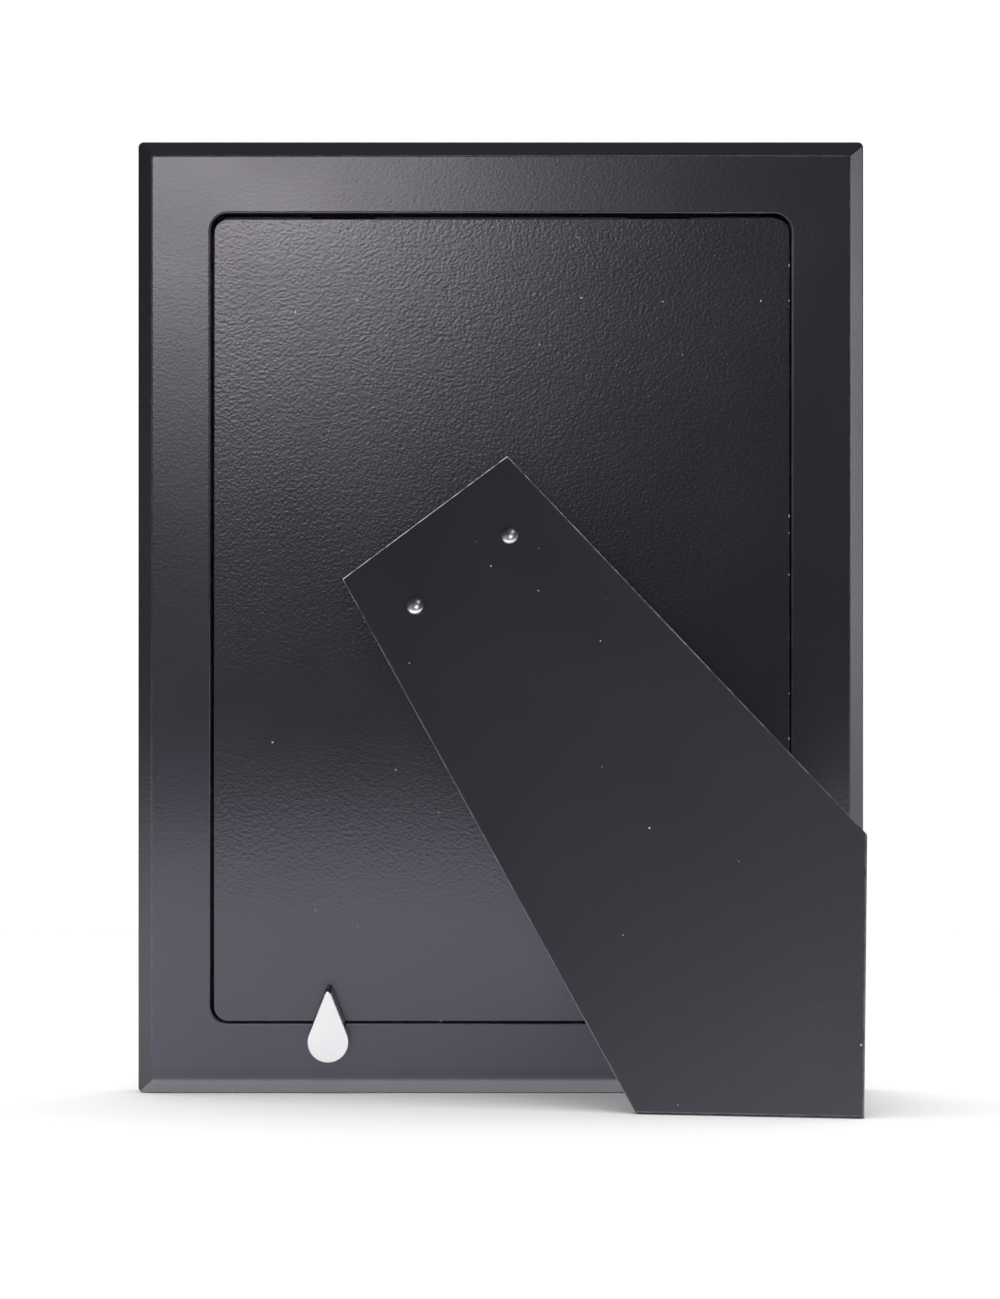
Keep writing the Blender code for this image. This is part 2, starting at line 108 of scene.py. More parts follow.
def body_axes():
    """Own axes of the frame body: middle of its width, its flat rear face and its bottom."""
    turned = own_axes(ACROSS, REAR, Vector())
    low, high = node_extent("frame_body", turned)
    return turned @ Matrix.Translation(((low.x + high.x) / 2, high.y, low.z))


ACROSS = Vector((1.0, 0.0, 0.0))
REAR = Vector(JOINTS["button_turn"]["axis"])
LEG_OPENING = math.radians(-min(JOINTS["leg_hinge"]["range_deg"]))
BODY_PLACE = body_axes()
BUTTON_PLACE = own_axes(ACROSS, REAR, Vector(JOINTS["button_turn"]["pos_m"]))
HINGE_PLACE = own_axes(Vector(JOINTS["leg_hinge"]["axis"]), REAR,
                       Vector(JOINTS["leg_hinge"]["pos_m"]))
LEG_PLACE = HINGE_PLACE @ Matrix.Rotation(LEG_OPENING, 4, "X")
HINGE_IN_BODY = BODY_PLACE.inverted() @ HINGE_PLACE


# ---------------------------------------------------------------- settings
def length(name, description, default):
    """A length in metres."""
    return FloatProperty(name=name, description=description, default=default, min=0.0,
                         precision=5, subtype="DISTANCE", unit="LENGTH")


def offset(name, description, default):
    """A signed position in metres."""
    return FloatProperty(name=name, description=description, default=default,
                         precision=5, subtype="DISTANCE", unit="LENGTH")


def turn(name, description, degrees):
    """An angle in radians."""
    return FloatProperty(name=name, description=description, default=math.radians(degrees),
                         subtype="ANGLE", unit="ROTATION")


def share(name, description, default):
    """A value between nought and one."""
    return FloatProperty(name=name, description=description, default=default,
                         min=0.0, max=1.0, subtype="FACTOR")


def power(name, description, default):
    """Strength of a light."""
    return FloatProperty(name=name, description=description, default=default, min=0.0)


def colour(name, description, default):
    """A linear colour."""
    return FloatVectorProperty(name=name, description=description, default=default,
                               size=3, min=0.0, max=4.0, subtype="COLOR")


class BodySizes(bpy.types.PropertyGroup):
    """Sizes of the routed frame body."""

    chamfer_run: length("Chamfer run", "Width of the outer chamfers seen from behind", 3.4 * MM)
    chamfer_depth: length("Chamfer depth", "Depth of the outer chamfers", 3.0 * MM)
    outer_radius: length("Outer corner", "Radius of the outline's corners", 1.2 * MM)
    mitre_radius: length("Inner corner", "Radius of corners that are nearly sharp", 0.25 * MM)
    outer_arris: length("Outer arris", "Rounding of the outer edges under the lacquer", 0.8 * MM)
    arris_radius: length("Inner arris", "Rounding of the recess and window edges", 0.4 * MM)
    recess_width: length("Recess width", "Width of the recess in the back", 128.3 * MM)
    recess_height: length("Recess height", "Height of the recess in the back", 178.8 * MM)
    recess_radius: length("Recess corner", "Corner radius left by the router", 3.9 * MM)
    sight_width: length("Sight width", "Width of the picture window", 117.0 * MM)
    sight_height: length("Sight height", "Height of the picture window", 167.0 * MM)
    sight_bevel: length("Sight bevel", "Bevel round the picture window", 3.0 * MM)


class PanelSizes(bpy.types.PropertyGroup):
    """Sizes of the loose back panel and the sheets behind it."""

    height: length("Height", "Height of the panel without its tongues", 177.3 * MM)
    corner_radius: length("Corner", "Corner radius of the panel", 3.2 * MM)
    arris_radius: length("Arris", "Rounding of the panel's rear edge", 0.22 * MM)
    tongue_width: length("Tongue width", "Width of each tongue on the top edge", 14.0 * MM)
    tongue_thickness: length("Tongue thickness", "Thickness of each tongue", 1.2 * MM)
    tongue_offset: length("Tongue offset", "Middle of the panel to a tongue's middle", 35.0 * MM)
    tongue_play: length("Tongue play", "Room round a tongue in its slot", 0.4 * MM)
    sheet_radius: length("Sheet corner", "Corner radius of glass, print and card", 3.6 * MM)
    sheet_arris: length("Sheet edge", "Ground edge of the glass and cut edges", 0.08 * MM)


class HingeSizes(bpy.types.PropertyGroup):
    """Sizes of the hinge between the panel and the leg."""

    width: length("Width", "Length of the hinge along its pin", 38.0 * MM)
    leaf_length: length("Leaf length", "Hinge line to a leaf's free edge", 12.0 * MM)
    leaf_thickness: length("Leaf thickness", "Thickness of the sheet steel", 0.8 * MM)
    leaf_inset: length("Leaf inset", "Leaf's outer face inside the knuckles", 0.05 * MM)
    leaf_corner: length("Leaf corner", "Corner radius of a leaf's free edge", 1.6 * MM)
    knuckle_radius: length("Knuckle radius", "Outer radius of the rolled knuckles", 1.5 * MM)
    knuckle_split: length("Knuckle split", "Middle to the end of the leg's knuckle", 9.0 * MM)
    notch: length("Notch", "Cut-back that clears the other leaf's knuckles", 2.0 * MM)
    pin_radius: length("Pin radius", "Radius of the pin", 0.6 * MM)
    pin_head: length("Pin head", "Radius of the pin's peened ends", 1.1 * MM)


class LegSizes(bpy.types.PropertyGroup):
    """Sizes of the easel leg and of the rivets that hold it."""

    arris_radius: length("Arris", "Rounding of the board's edges", 0.3 * MM)
    corner_radius: length("Corner", "Rounding of the outline's corners", 0.3 * MM)
    # Share of the leg's pale painted highlight given to the side and bottom arrises; the top
    # arris gets it all.
    flank_highlight_share: share("Flank highlight", "Wear of the other edges beside the top edge's", 0.07)
    rivet_offset: length("Rivet offset", "Middle of the leg to each rivet", 12.8 * MM)
    rivet_drop: length("Rivet drop", "Hinge line down to the rivets", 8.1 * MM)
    rivet_head: length("Rivet head", "Radius of the domed heads", 2.02 * MM)
    rivet_height: length("Rivet height", "Height of the domed heads", 1.3 * MM)
    rivet_shank: length("Rivet shank", "Radius of the shanks", 1.0 * MM)
    rivet_tail: length("Rivet tail", "Radius of the upset tails", 1.8 * MM)
    tail_height: length("Tail height", "Height of the upset tails", 0.5 * MM)
    panel_rivet_offset: length("Panel rivet offset", "Middle to a panel rivet", 6.0 * MM)
    panel_rivet_drop: length("Panel rivet drop", "Hinge line down to those rivets", 7.5 * MM)
    washer_radius: length("Washer radius", "Outer radius of the panel's washers", 2.8 * MM)
    counterbore_depth: length("Counterbore", "Depth of the panel's counterbores", 1.5 * MM)


class ButtonSizes(bpy.types.PropertyGroup):
    """Sizes of the teardrop turn button and what it turns in."""

    radius: length("Radius", "Radius of the round end", 4.6 * MM)
    tip: length("Tip", "Middle of the round end to the tip", 11.5 * MM)
    tip_radius: length("Tip radius", "Rounding of the tip", 0.8 * MM)
    draft: length("Draft", "How far the sides lean in towards the face", 0.1 * MM)
    tip_lean: power("Tip lean", "How much more the sides lean in at the tip", 3.4)
    rim: length("Rim", "Rounding between the sides and the face", 0.22 * MM)
    stud_radius: length("Stud radius", "Radius of the stud", 1.0 * MM)
    stud_foot: length("Stud foot", "Radius of the stud's foot", 1.55 * MM)
    stud_foot_height: length("Stud foot height", "Height of the stud's foot", 0.9 * MM)
    bush_radius: length("Bush radius", "Outer radius of the bush", 1.9 * MM)


class FinishSettings(bpy.types.PropertyGroup):
    """Colours and textures of the finishes."""

    lacquer: colour("Lacquer", "Satin lacquer on the body", (0.0125, 0.0115, 0.0165))
    lacquer_gloss: share("Lacquer roughness", "Roughness of the lacquer", 0.27)
    panel: colour("Panel", "Grained coating on the panel", (0.0115, 0.0108, 0.014))
    panel_gloss: share("Panel roughness", "Roughness of the grained coating", 0.25)
    leg: colour("Leg", "Smooth coating on the leg", (0.0100, 0.0095, 0.0150))
    leg_gloss: share("Leg roughness", "Roughness of the leg's coating", 0.42)
    worn_edge: colour("Worn edge", "Rubbed coating on the arrises", (0.085, 0.060, 0.050))
    # Pale painted highlight along the leg's arrises, full on the top edge; not the board's own
    # edge colour.
    arris_highlight: colour("Arris highlight", "Pale arris of the cut leg board", (0.72, 0.72, 0.72))
    chips: colour("Chips", "Pale board where the coating has chipped", (0.62, 0.60, 0.57))
    dust: colour("Dust", "Dust that has settled", (0.42, 0.41, 0.44))
    nickel: colour("Nickel", "Satin nickel of the turn button", (0.605, 0.61, 0.57))
    steel: colour("Polished steel", "Rivet heads", (0.74, 0.74, 0.76))
    zinc: colour("Zinc", "Zinc plate on the hinge", (0.50, 0.50, 0.51))
    brass: colour("Brass", "Turned brass of the bush", (0.75, 0.58, 0.28))
    card: colour("Card", "Dark card behind the print", (0.050, 0.047, 0.043))
    grain_size: length("Grain size", "Width of one pebble of the panel's grain", 0.60 * MM)
    grain_depth: length("Grain depth", "Depth of the panel's grain", 0.035 * MM)


class StudioSettings(bpy.types.PropertyGroup):
    """Camera and lights."""

    distance: length("Distance", "Camera to the flat rear face, square to it", 0.556)
    eye_height: length("Eye height", "Camera's height measured up the back", 0.14264)
    eye_offset: offset("Eye offset", "Camera's distance from the middle", 0.00018)
    picture_height: length("Picture height", "Height that the picture takes in", 0.28682)
    picture_drop: length("Picture drop", "Picture's middle below the camera", 0.04405)
    key_side: turn("Key side", "Key light's angle from the back's normal, sideways", 10.5)
    key_rise: turn("Key rise", "Key light's angle above the back's normal", 12.8)
    key_distance: length("Key distance", "Key light to the middle of the back", 1.1)
    strip_distance: length("Strip distance", "Each strip to the middle of the back", 1.0)
    top_side: turn("Top side", "Top strip's angle from the back's normal, sideways", -8)
    top_rise: turn("Top rise", "Top strip's angle above the back's normal", 56)
    edge_side: turn("Edge side", "Edge strip's angle from the back's normal, sideways", 54)
    edge_rise: turn("Edge rise", "Edge strip's angle above the back's normal", 4)
    key_power: power("Key power", "Power of the key light in watts", 1.8)
    key_size: length("Key size", "Height of the key light", 0.20)
    side_power: power("Side power", "Power of the strip beside the frame", 1.35)
    under_power: power("Under power", "Power of the card that lights the lower edge", 0.0075)
    table_power: power("Table power", "Power of the pale card on the table", 0.20)
    front_power: power("Front power", "Power of the fill from the camera's side", 3.2)
    floor_light: power("Floor light", "Strength of the light that whitens the floor", 1.90)
    fill_light: power("Fill light", "Strength of the even light on matt surfaces", 0.6)
    backdrop_light: power("Backdrop", "Brightness of the backdrop seen in reflections", 0.4)
    top_power: power("Top power", "Power of the strip above the camera", 0.5)
    edge_power: power("Edge power", "Power of the strip that lights the left arrises", 0.25)
    room_light: power("Room light", "Strength of the dark room seen in reflections", 0.03)
    flag_start: length("Dark cloth", "From the frame to the dark cloth under the camera", 0.15)


class PhotoFrameSettings(bpy.types.PropertyGroup):
    """All settings of the photo frame."""

    body: PointerProperty(type=BodySizes)
    panel: PointerProperty(type=PanelSizes)
    hinge: PointerProperty(type=HingeSizes)
    leg: PointerProperty(type=LegSizes)
    button: PointerProperty(type=ButtonSizes)
    finish: PointerProperty(type=FinishSettings)
    studio: PointerProperty(type=StudioSettings)


# ---------------------------------------------------------------- outlines and profiles
def arc(centre_x, centre_z, radius, start, end, steps):
    """Points along an arc, both ends included."""
    angles = [start + (end - start) * i / steps for i in range(steps + 1)]
    return [(centre_x + radius * math.cos(a), centre_z + radius * math.sin(a)) for a in angles]


def rounded_rectangle(low, high, radius):
    """Outline of a rectangle between two (x, z) corners, with round corners."""
    points = []
    corners = ((high[0], high[1]), (low[0], high[1]), (low[0], low[1]), (high[0], low[1]))
    inward = ((-1, -1), (1, -1), (1, 1), (-1, 1))
    for quarter, ((x, z), (step_x, step_z)) in enumerate(zip(corners, inward)):
        start = quarter * math.pi / 2
        points += arc(x + step_x * radius, z + step_z * radius, radius,
                      start, start + math.pi / 2, CORNER_STEPS)
    return points


def grown(low, high, amount):
    """Two (x, z) corners moved outwards by an amount."""
    return (low[0] - amount, low[1] - amount), (high[0] + amount, high[1] + amount)


def circle(radius, sides, centre=(0.0, 0.0)):
    """Outline of a circle."""
    return arc(*centre, radius, 0.0, 2 * math.pi * (sides - 1) / sides, sides - 1)


def rounded_polygon(corners, inset, radius):
    """Outline of a convex polygon, moved inwards and with its corners rounded.

    The corners run anticlockwise as (x, z) points.
    """
    outline = []
    count = len(corners)
    for i, corner in enumerate(corners):
        before = Vector(corner) - Vector(corners[i - 1])
        after = Vector(corners[(i + 1) % count]) - Vector(corner)
        first = Vector((before.y, -before.x)).normalized()
        last = Vector((after.y, -after.x)).normalized()
        half = first.angle(last) / 2
        middle = (first + last).normalized()
        centre = Vector(corner) - middle * (inset + radius) / math.cos(half)
        start = math.atan2(first.y, first.x)
        outline += arc(*centre, radius, start, start + 2 * half, ARRIS_STEPS)
    return outline


def teardrop(radius, tip, tip_radius):
    """Round end about the origin, with straight flanks that meet in a small tip at +Z."""
    tip_centre = tip - tip_radius
    flank = math.asin((radius - tip_radius) / tip_centre)
    point = arc(0.0, tip_centre, tip_radius, flank, math.pi - flank, CORNER_STEPS)
    return point + arc(0.0, 0.0, radius, math.pi - flank, 2 * math.pi + flank, ROUND_SIDES)


def soften(profile, radius, steps=ARRIS_STEPS):
    """Round the inner corners of an open (inset, depth) profile as (inset, depth, wear).

    Each corner becomes an arc between two guard points, which keep the flats beside it flat.
    The arris weight, which sets worn arrises and the leg's pale painted highlight, is greatest in
    the middle of an arc and nought on the flats. The profile's two ends only guide the first and
    last corner.
    """
    softened = []
    for before, corner, after in zip(profile, profile[1:], profile[2:]):
        to_before = (Vector(before) - Vector(corner)).normalized()
        to_after = (Vector(after) - Vector(corner)).normalized()
        half = to_before.angle(to_after) / 2
        setback = radius / math.tan(half)
        middle = Vector(corner) + (to_before + to_after).normalized() * radius / math.sin(half)
        first = Vector(corner) + to_before * setback
        last = Vector(corner) + to_after * setback
        softened.append((*(first + to_before * GUARD), 0.0))
        for step in range(steps + 1):
            spoke = (first - middle).lerp(last - middle, step / steps) / radius
            place = middle + spoke.normalized() * radius
            softened.append((*place, math.sin(math.pi * step / steps)))
        softened.append((*(last + to_after * GUARD), 0.0))
    return softened


# ---------------------------------------------------------------- mesh tools
def new_piece(name, mesh):
    """Object for a mesh, in the scene's collection."""
    obj = bpy.data.objects.new(name, mesh)
    bpy.context.scene.collection.objects.link(obj)
    return obj


def loft(name, sections, ring=False, along="Y"):
    """Closed solid through outlines of equal length, given as (position, outline, wear).

    A ring joins the last section to the first; otherwise both ends are capped.
    """
    builder = bmesh.new()
    arris_weight_layer = builder.verts.layers.float.new(ARRIS_MASK)
    loops = []
    for position, outline, arris_weight in sections:
        loop = []
        for x, z in outline:
            place = (x, position, z) if along == "Y" else (position, x, z)
            vert = builder.verts.new(place)
            vert[arris_weight_layer] = arris_weight
            loop.append(vert)
        loops.append(loop)
    pairs = list(zip(loops, loops[1:]))
    if ring:
        pairs.append((loops[-1], loops[0]))
    else:
        builder.faces.new(loops[0])
        builder.faces.new(loops[-1])
    for first, second in pairs:
        for i, vert in enumerate(first):
            j = (i + 1) % len(first)
            builder.faces.new((vert, first[j], second[j], second[i]))
    bmesh.ops.recalc_face_normals(builder, faces=builder.faces)
    mesh = bpy.data.meshes.new(name)
    builder.to_mesh(mesh)
    builder.free()
    return new_piece(name, mesh)


def turned(name, profile, sides, centre=(0.0, 0.0), along="Y"):
    """Solid turned from (position, radius) pairs."""
    sections = [(position, circle(radius, sides, centre), 0.0) for position, radius in profile]
    return loft(name, sections, along=along)


def tube(name, start, end, inner, outer, edge, centre=(0.0, 0.0)):
    """Ring along Y with its four edges eased."""
    profile = [(start, inner), (start, outer - edge), (start + edge, outer),
               (end - edge, outer), (end, outer - edge), (end, inner)]
    sections = [(position, circle(radius, SMALL_SIDES, centre), 0.0)
                for position, radius in profile]
    return loft(name, sections, ring=True)


def block(name, low, high):
    """Rectangular block between two corners."""
    outline = [(low[0], low[2]), (high[0], low[2]), (high[0], high[2]), (low[0], high[2])]
    return loft(name, [(low[1], outline, 0.0), (high[1], outline, 0.0)])


def combine(target, tool, operation="DIFFERENCE"):
    """Cut a tool from a target, or unite it with the target."""
    modifier = target.modifiers.new(tool.name, "BOOLEAN")
    modifier.operation = operation
    modifier.solver = "EXACT"
    modifier.object = tool


def plain_mesh(obj, name):
    """What an object's modifiers make of it, as a mesh without modifiers."""
    depsgraph = bpy.context.evaluated_depsgraph_get()
    mesh = bpy.data.meshes.new_from_object(obj.evaluated_get(depsgraph))
    mesh.name = name
    return mesh


def settle(obj, place, material, body, slot, *nodes):
    """Apply an object's modifiers, set it in its place, and tie it to its body and nodes."""
    tools = [modifier.object for modifier in obj.modifiers if modifier.type == "BOOLEAN"]
    mesh = plain_mesh(obj, obj.name)
    obj.modifiers.clear()
    obj.data = mesh
    for tool in tools:
        bpy.data.objects.remove(tool, do_unlink=True)
    mesh.transform(place)
    mesh.shade_smooth()
    mesh.set_sharp_from_angle(angle=SMOOTH_BELOW)
    mesh.materials.clear()
    mesh.materials.append(material)
    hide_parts(*nodes)
    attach(obj, body)
    return obj


# ---------------------------------------------------------------- shader tools
class Graph:
    """Adds nodes to one tree and joins them."""

    def __init__(self, tree):
        self.tree = tree

    def add(self, kind, inputs=None, **settings):
        """New node; an input takes a value, or the socket that feeds it."""
        added = self.tree.nodes.new(kind)
        for key, value in settings.items():
            setattr(added, key, value)
        for key, value in (inputs or {}).items():
            self.feed(added.inputs[key], value)
        return added

    def feed(self, socket, value):
        """Set a socket's value, or join it to another socket."""
        if isinstance(value, bpy.types.NodeSocket):
            self.tree.links.new(value, socket)
        else:
            socket.default_value = value

    def math(self, operation, first, second=0.0):
        """Math node's result."""
        return self.add("ShaderNodeMath", {0: first, 1: second}, operation=operation).outputs[0]

    def blend(self, factor, first, second):
        """Colour mixed between two colours."""
        mix = self.add("ShaderNodeMix", data_type="RGBA")
        self.feed(mix.inputs[0], factor)
        self.feed(mix.inputs[6], first)
        self.feed(mix.inputs[7], second)
        return mix.outputs[2]

    def spread(self, value, low, high, out_low=0.0, out_high=1.0, kind="LINEAR"):
        """Value mapped from one range to another."""
        names = {"Value": value, "From Min": low, "From Max": high,
                 "To Min": out_low, "To Max": out_high}
        return self.add("ShaderNodeMapRange", names, interpolation_type=kind).outputs["Result"]

    def call(self, group, **inputs):
        """Node of a shader group, with its inputs named with underscores for spaces."""
        added = self.tree.nodes.new("ShaderNodeGroup")
        added.node_tree = group
        for key, value in inputs.items():
            self.feed(added.inputs[key.replace("_", " ")], value)
        return added


def shader_group(name, inputs, outputs):
    """Empty shader group with its sockets: its tree, its graph, and its two end nodes."""
    tree = bpy.data.node_groups.new(name, "ShaderNodeTree")
    for label, kind, default in inputs:
        socket = tree.interface.new_socket(label, in_out="INPUT", socket_type=kind)
        if default is not None:
            socket.default_value = default
    for label, kind in outputs:
        tree.interface.new_socket(label, in_out="OUTPUT", socket_type=kind)
    graph = Graph(tree)
    return tree, graph, graph.add("NodeGroupInput"), graph.add("NodeGroupOutput")


def shared_group(name, make):
    """A group by its name, made the first time it is asked for."""
    return bpy.data.node_groups.get(name) or make(name)


def scaled_place(graph, start, size):
    """Place divided by a size, so that one unit of pattern is that size."""
    frequency = graph.math("DIVIDE", 1.0, size)
    return graph.add("ShaderNodeVectorMath", {0: start, "Scale": frequency},
                     operation="SCALE").outputs["Vector"]


def pebble_grain(name):
    """Group: height of a fine pebbled coating."""
    tree, graph, start, end = shader_group(
        name, [("Place", "NodeSocketVector", None), ("Grain Size", "NodeSocketFloat", 0.7 * MM)],
        [("Height", "NodeSocketFloat")])
    place = scaled_place(graph, start.outputs["Place"], start.outputs["Grain Size"])
    drops = graph.add("ShaderNodeTexVoronoi", {"Vector": place, "Scale": 1.0, "Smoothness": 0.8},
                      feature="SMOOTH_F1")
    flow = graph.add("ShaderNodeTexNoise", {"Vector": place, "Scale": 0.9, "Detail": 2.0})
    height = graph.math("MULTIPLY", drops.outputs["Distance"], -0.55)
    graph.feed(end.inputs["Height"], graph.math("ADD", height, flow.outputs["Fac"]))
    return tree


def tone_drift(name):
    """Group: slow change of tone over a surface, between a low and a high value."""
    tree, graph, start, end = shader_group(
        name, [("Place", "NodeSocketVector", None), ("Patch Size", "NodeSocketFloat", 30 * MM),
               ("Low", "NodeSocketFloat", 0.0), ("High", "NodeSocketFloat", 1.0)],
        [("Value", "NodeSocketFloat")])
    place = scaled_place(graph, start.outputs["Place"], start.outputs["Patch Size"])
    cloud = graph.add("ShaderNodeTexNoise", {"Vector": place, "Scale": 1.0, "Detail": 1.0})
    value = graph.spread(cloud.outputs["Fac"], 0.2, 0.8,
                         start.outputs["Low"], start.outputs["High"], "SMOOTHSTEP")
    graph.feed(end.inputs["Value"], value)
    return tree


def edge_wear(name):
    """Group: arris mask for worn coating on the body and panel, and for the pale painted
    highlight on the leg's arrises.
    """
    tree, graph, start, end = shader_group(
        name, [("Place", "NodeSocketVector", None), ("Arris", "NodeSocketFloat", 0.0),
               ("Patch Size", "NodeSocketFloat", 4 * MM), ("Amount", "NodeSocketFloat", 0.5)],
        [("Mask", "NodeSocketFloat")])
    place = scaled_place(graph, start.outputs["Place"], start.outputs["Patch Size"])
    rub = graph.add("ShaderNodeTexNoise", {"Vector": place, "Scale": 1.0, "Detail": 5.0,
                                           "Roughness": 0.7})
    patch = graph.spread(rub.outputs["Fac"], 0.42, 0.68, 0.15, 1.0)
    mask = graph.math("MULTIPLY", graph.math("MULTIPLY", start.outputs["Arris"], patch),
                      start.outputs["Amount"])
    graph.feed(end.inputs["Mask"], mask)
    return tree


def settled_dust(name):
    """Group: scattered specks of dust."""
    tree, graph, start, end = shader_group(
        name, [("Place", "NodeSocketVector", None), ("Spacing", "NodeSocketFloat", 4 * MM),
               ("Speck", "NodeSocketFloat", 0.03), ("Share", "NodeSocketFloat", 0.3)],
        [("Mask", "NodeSocketFloat")])
    place = scaled_place(graph, start.outputs["Place"], start.outputs["Spacing"])
    cells = graph.add("ShaderNodeTexVoronoi", {"Vector": place, "Scale": 1.0}, feature="F1")
    chance = graph.add("ShaderNodeSeparateColor", {0: cells.outputs["Color"]})
    picked = graph.math("LESS_THAN", chance.outputs[0], start.outputs["Share"])
    radius = graph.math("MULTIPLY", start.outputs["Speck"],
                        graph.math("ADD", chance.outputs[1], 0.35))
    speck = graph.math("LESS_THAN", cells.outputs["Distance"], radius)
    graph.feed(end.inputs["Mask"], graph.math("MULTIPLY", picked, speck))
    return tree


def new_material(name):
    """Material with its graph, its Principled shader and the object's own coordinates."""
    material = bpy.data.materials.new(name)
    material.use_nodes = True
    graph = Graph(material.node_tree)
    shader = material.node_tree.nodes["Principled BSDF"]
    place = graph.add("ShaderNodeTexCoord").outputs["Object"]
    return material, graph, shader, place


def coated_board(name, tint, roughness, grain_size, grain_depth, dust_share, wear_and_highlight_amount,
                 chip_share, wear_and_highlight_colour):
    """Black coating on board: grain, worn and chipped arrises, dust and drifting gloss. On the
    leg the arris colour is a pale painted highlight instead of worn coating.
    """
    finish = bpy.context.scene.photo_frame.finish
    material, graph, shader, place = new_material(name)
    arris = graph.add("ShaderNodeAttribute", attribute_name=ARRIS_MASK).outputs["Fac"]
    grain = graph.call(shared_group("pebble_grain", pebble_grain),
                       Place=place, Grain_Size=grain_size).outputs["Height"]
    drift = graph.call(shared_group("tone_drift", tone_drift), Place=place,
                       Patch_Size=26 * MM, Low=0.93, High=1.07).outputs["Value"]
    arris_weight = graph.call(shared_group("edge_wear", edge_wear), Place=place, Arris=arris,
                      Patch_Size=3.5 * MM, Amount=wear_and_highlight_amount).outputs["Mask"]
    dust = graph.call(shared_group("settled_dust", settled_dust), Place=place,
                      Spacing=4.5 * MM, Speck=0.034, Share=dust_share).outputs["Mask"]
    # Arrises blend to the given colour: worn coating on the body and panel, a pale painted
    # highlight on the leg.
    base = graph.blend(arris_weight, (*tint, 1.0), (*wear_and_highlight_colour, 1.0))
    chips = graph.call(shared_group("settled_dust", settled_dust), Place=place,
                       Spacing=1.1 * MM, Speck=0.24, Share=chip_share).outputs["Mask"]
    chipped = graph.math("MULTIPLY", chips, graph.math("GREATER_THAN", arris, 0.4))
    base = graph.blend(chipped, base, (*finish.chips, 1.0))
    graph.feed(shader.inputs["Base Color"], graph.blend(dust, base, (*finish.dust, 1.0)))
    gloss = graph.math("MULTIPLY", drift, roughness)
    gloss = graph.math("ADD", gloss, graph.math("MULTIPLY", dust, 0.4))
    graph.feed(shader.inputs["Roughness"], gloss)
    bump = graph.add("ShaderNodeBump", {"Height": grain, "Strength": 1.0,
                                        "Distance": grain_depth})
    graph.feed(shader.inputs["Normal"], bump.outputs["Normal"])
    shader.inputs["IOR"].default_value = COATING_IOR
    shader.inputs["Specular Tint"].default_value = COATING_GLINT
    return material


def tongue_shade_board():
    """Near-black board that barely reflects, put on the panel's tongues as painted shade so they
    read as shade in the top gap.
    """
    material, graph, shader, place = new_material("stained_board")
    fibres = graph.add("ShaderNodeTexNoise", {"Vector": place, "Scale": 1500.0, "Detail": 4.0})
    graph.feed(shader.inputs["Base Color"],
               graph.blend(fibres.outputs["Fac"], (0.003, 0.003, 0.003, 1.0),
                           (0.008, 0.007, 0.006, 1.0)))
    shader.inputs["Roughness"].default_value = 0.95
    shader.inputs["Specular IOR Level"].default_value = 0.05
    return material


def plated_metal(name, tint, low, high, patch, scratch_depth):
    """Metal whose gloss drifts between two values, with fine scratches."""
    material, graph, shader, place = new_material(name)
    shader.inputs["Metallic"].default_value = 1.0
    gloss = graph.call(shared_group("tone_drift", tone_drift), Place=place,
                       Patch_Size=patch, Low=low, High=high).outputs["Value"]
    graph.feed(shader.inputs["Roughness"], gloss)
    shade = graph.call(shared_group("tone_drift", tone_drift), Place=place,
                       Patch_Size=patch * 2.3, Low=0.0, High=1.0).outputs["Value"]
    darker = tuple(value * 0.82 for value in tint)
    graph.feed(shader.inputs["Base Color"], graph.blend(shade, (*darker, 1.0), (*tint, 1.0)))
    stretch = graph.add("ShaderNodeMapping", {"Vector": place, "Scale": (9000, 900, 900)})
    lines = graph.add("ShaderNodeTexNoise", {"Vector": stretch.outputs[0], "Scale": 1.0,
                                             "Detail": 2.0})
    bump = graph.add("ShaderNodeBump", {"Height": lines.outputs["Fac"], "Strength": 0.6,
                                        "Distance": scratch_depth})
    graph.feed(shader.inputs["Normal"], bump.outputs["Normal"])
    return material


def satin_nickel():
    """Nickel with a blasted face and polished sides, the sides painted darker as shade."""
    finish = bpy.context.scene.photo_frame.finish
    material, graph, shader, place = new_material("satin_nickel")
    shader.inputs["Metallic"].default_value = 1.0
    face = graph.add("ShaderNodeAttribute", attribute_name=FACE_MASK).outputs["Fac"]
    drift = graph.call(shared_group("tone_drift", tone_drift), Place=place,
                       Patch_Size=5 * MM, Low=0.9, High=1.1).outputs["Value"]
    gloss = graph.math("MULTIPLY", graph.spread(face, 0.0, 1.0, 0.26, 0.34), drift)
    graph.feed(shader.inputs["Roughness"], gloss)
    # Darker copy of the nickel on the side walls: painted shade.
    sides = tuple(value * 0.86 for value in finish.nickel)
    graph.feed(shader.inputs["Base Color"],
               graph.blend(face, (*sides, 1.0), (*finish.nickel, 1.0)))
    grain = graph.call(shared_group("pebble_grain", pebble_grain),
                       Place=place, Grain_Size=0.12 * MM).outputs["Height"]
    bump = graph.add("ShaderNodeBump", {"Height": graph.math("MULTIPLY", grain, face),
                                        "Strength": 0.5, "Distance": 0.002 * MM})
    graph.feed(shader.inputs["Normal"], bump.outputs["Normal"])
    return material


def turned_brass():
    """Brass with fine rings left by the lathe."""
    finish = bpy.context.scene.photo_frame.finish
    material, graph, shader, place = new_material("turned_brass")
    shader.inputs["Metallic"].default_value = 1.0
    rings = graph.add("ShaderNodeTexWave", {"Vector": place, "Scale": 2500.0, "Distortion": 0.4},
                      wave_type="BANDS", bands_direction="Y")
    graph.feed(shader.inputs["Roughness"], graph.spread(rings.outputs["Fac"], 0, 1, 0.22, 0.36))
    dull = tuple(value * 0.8 for value in finish.brass)
    graph.feed(shader.inputs["Base Color"],
               graph.blend(rings.outputs["Fac"], (*dull, 1.0), (*finish.brass, 1.0)))
    return material


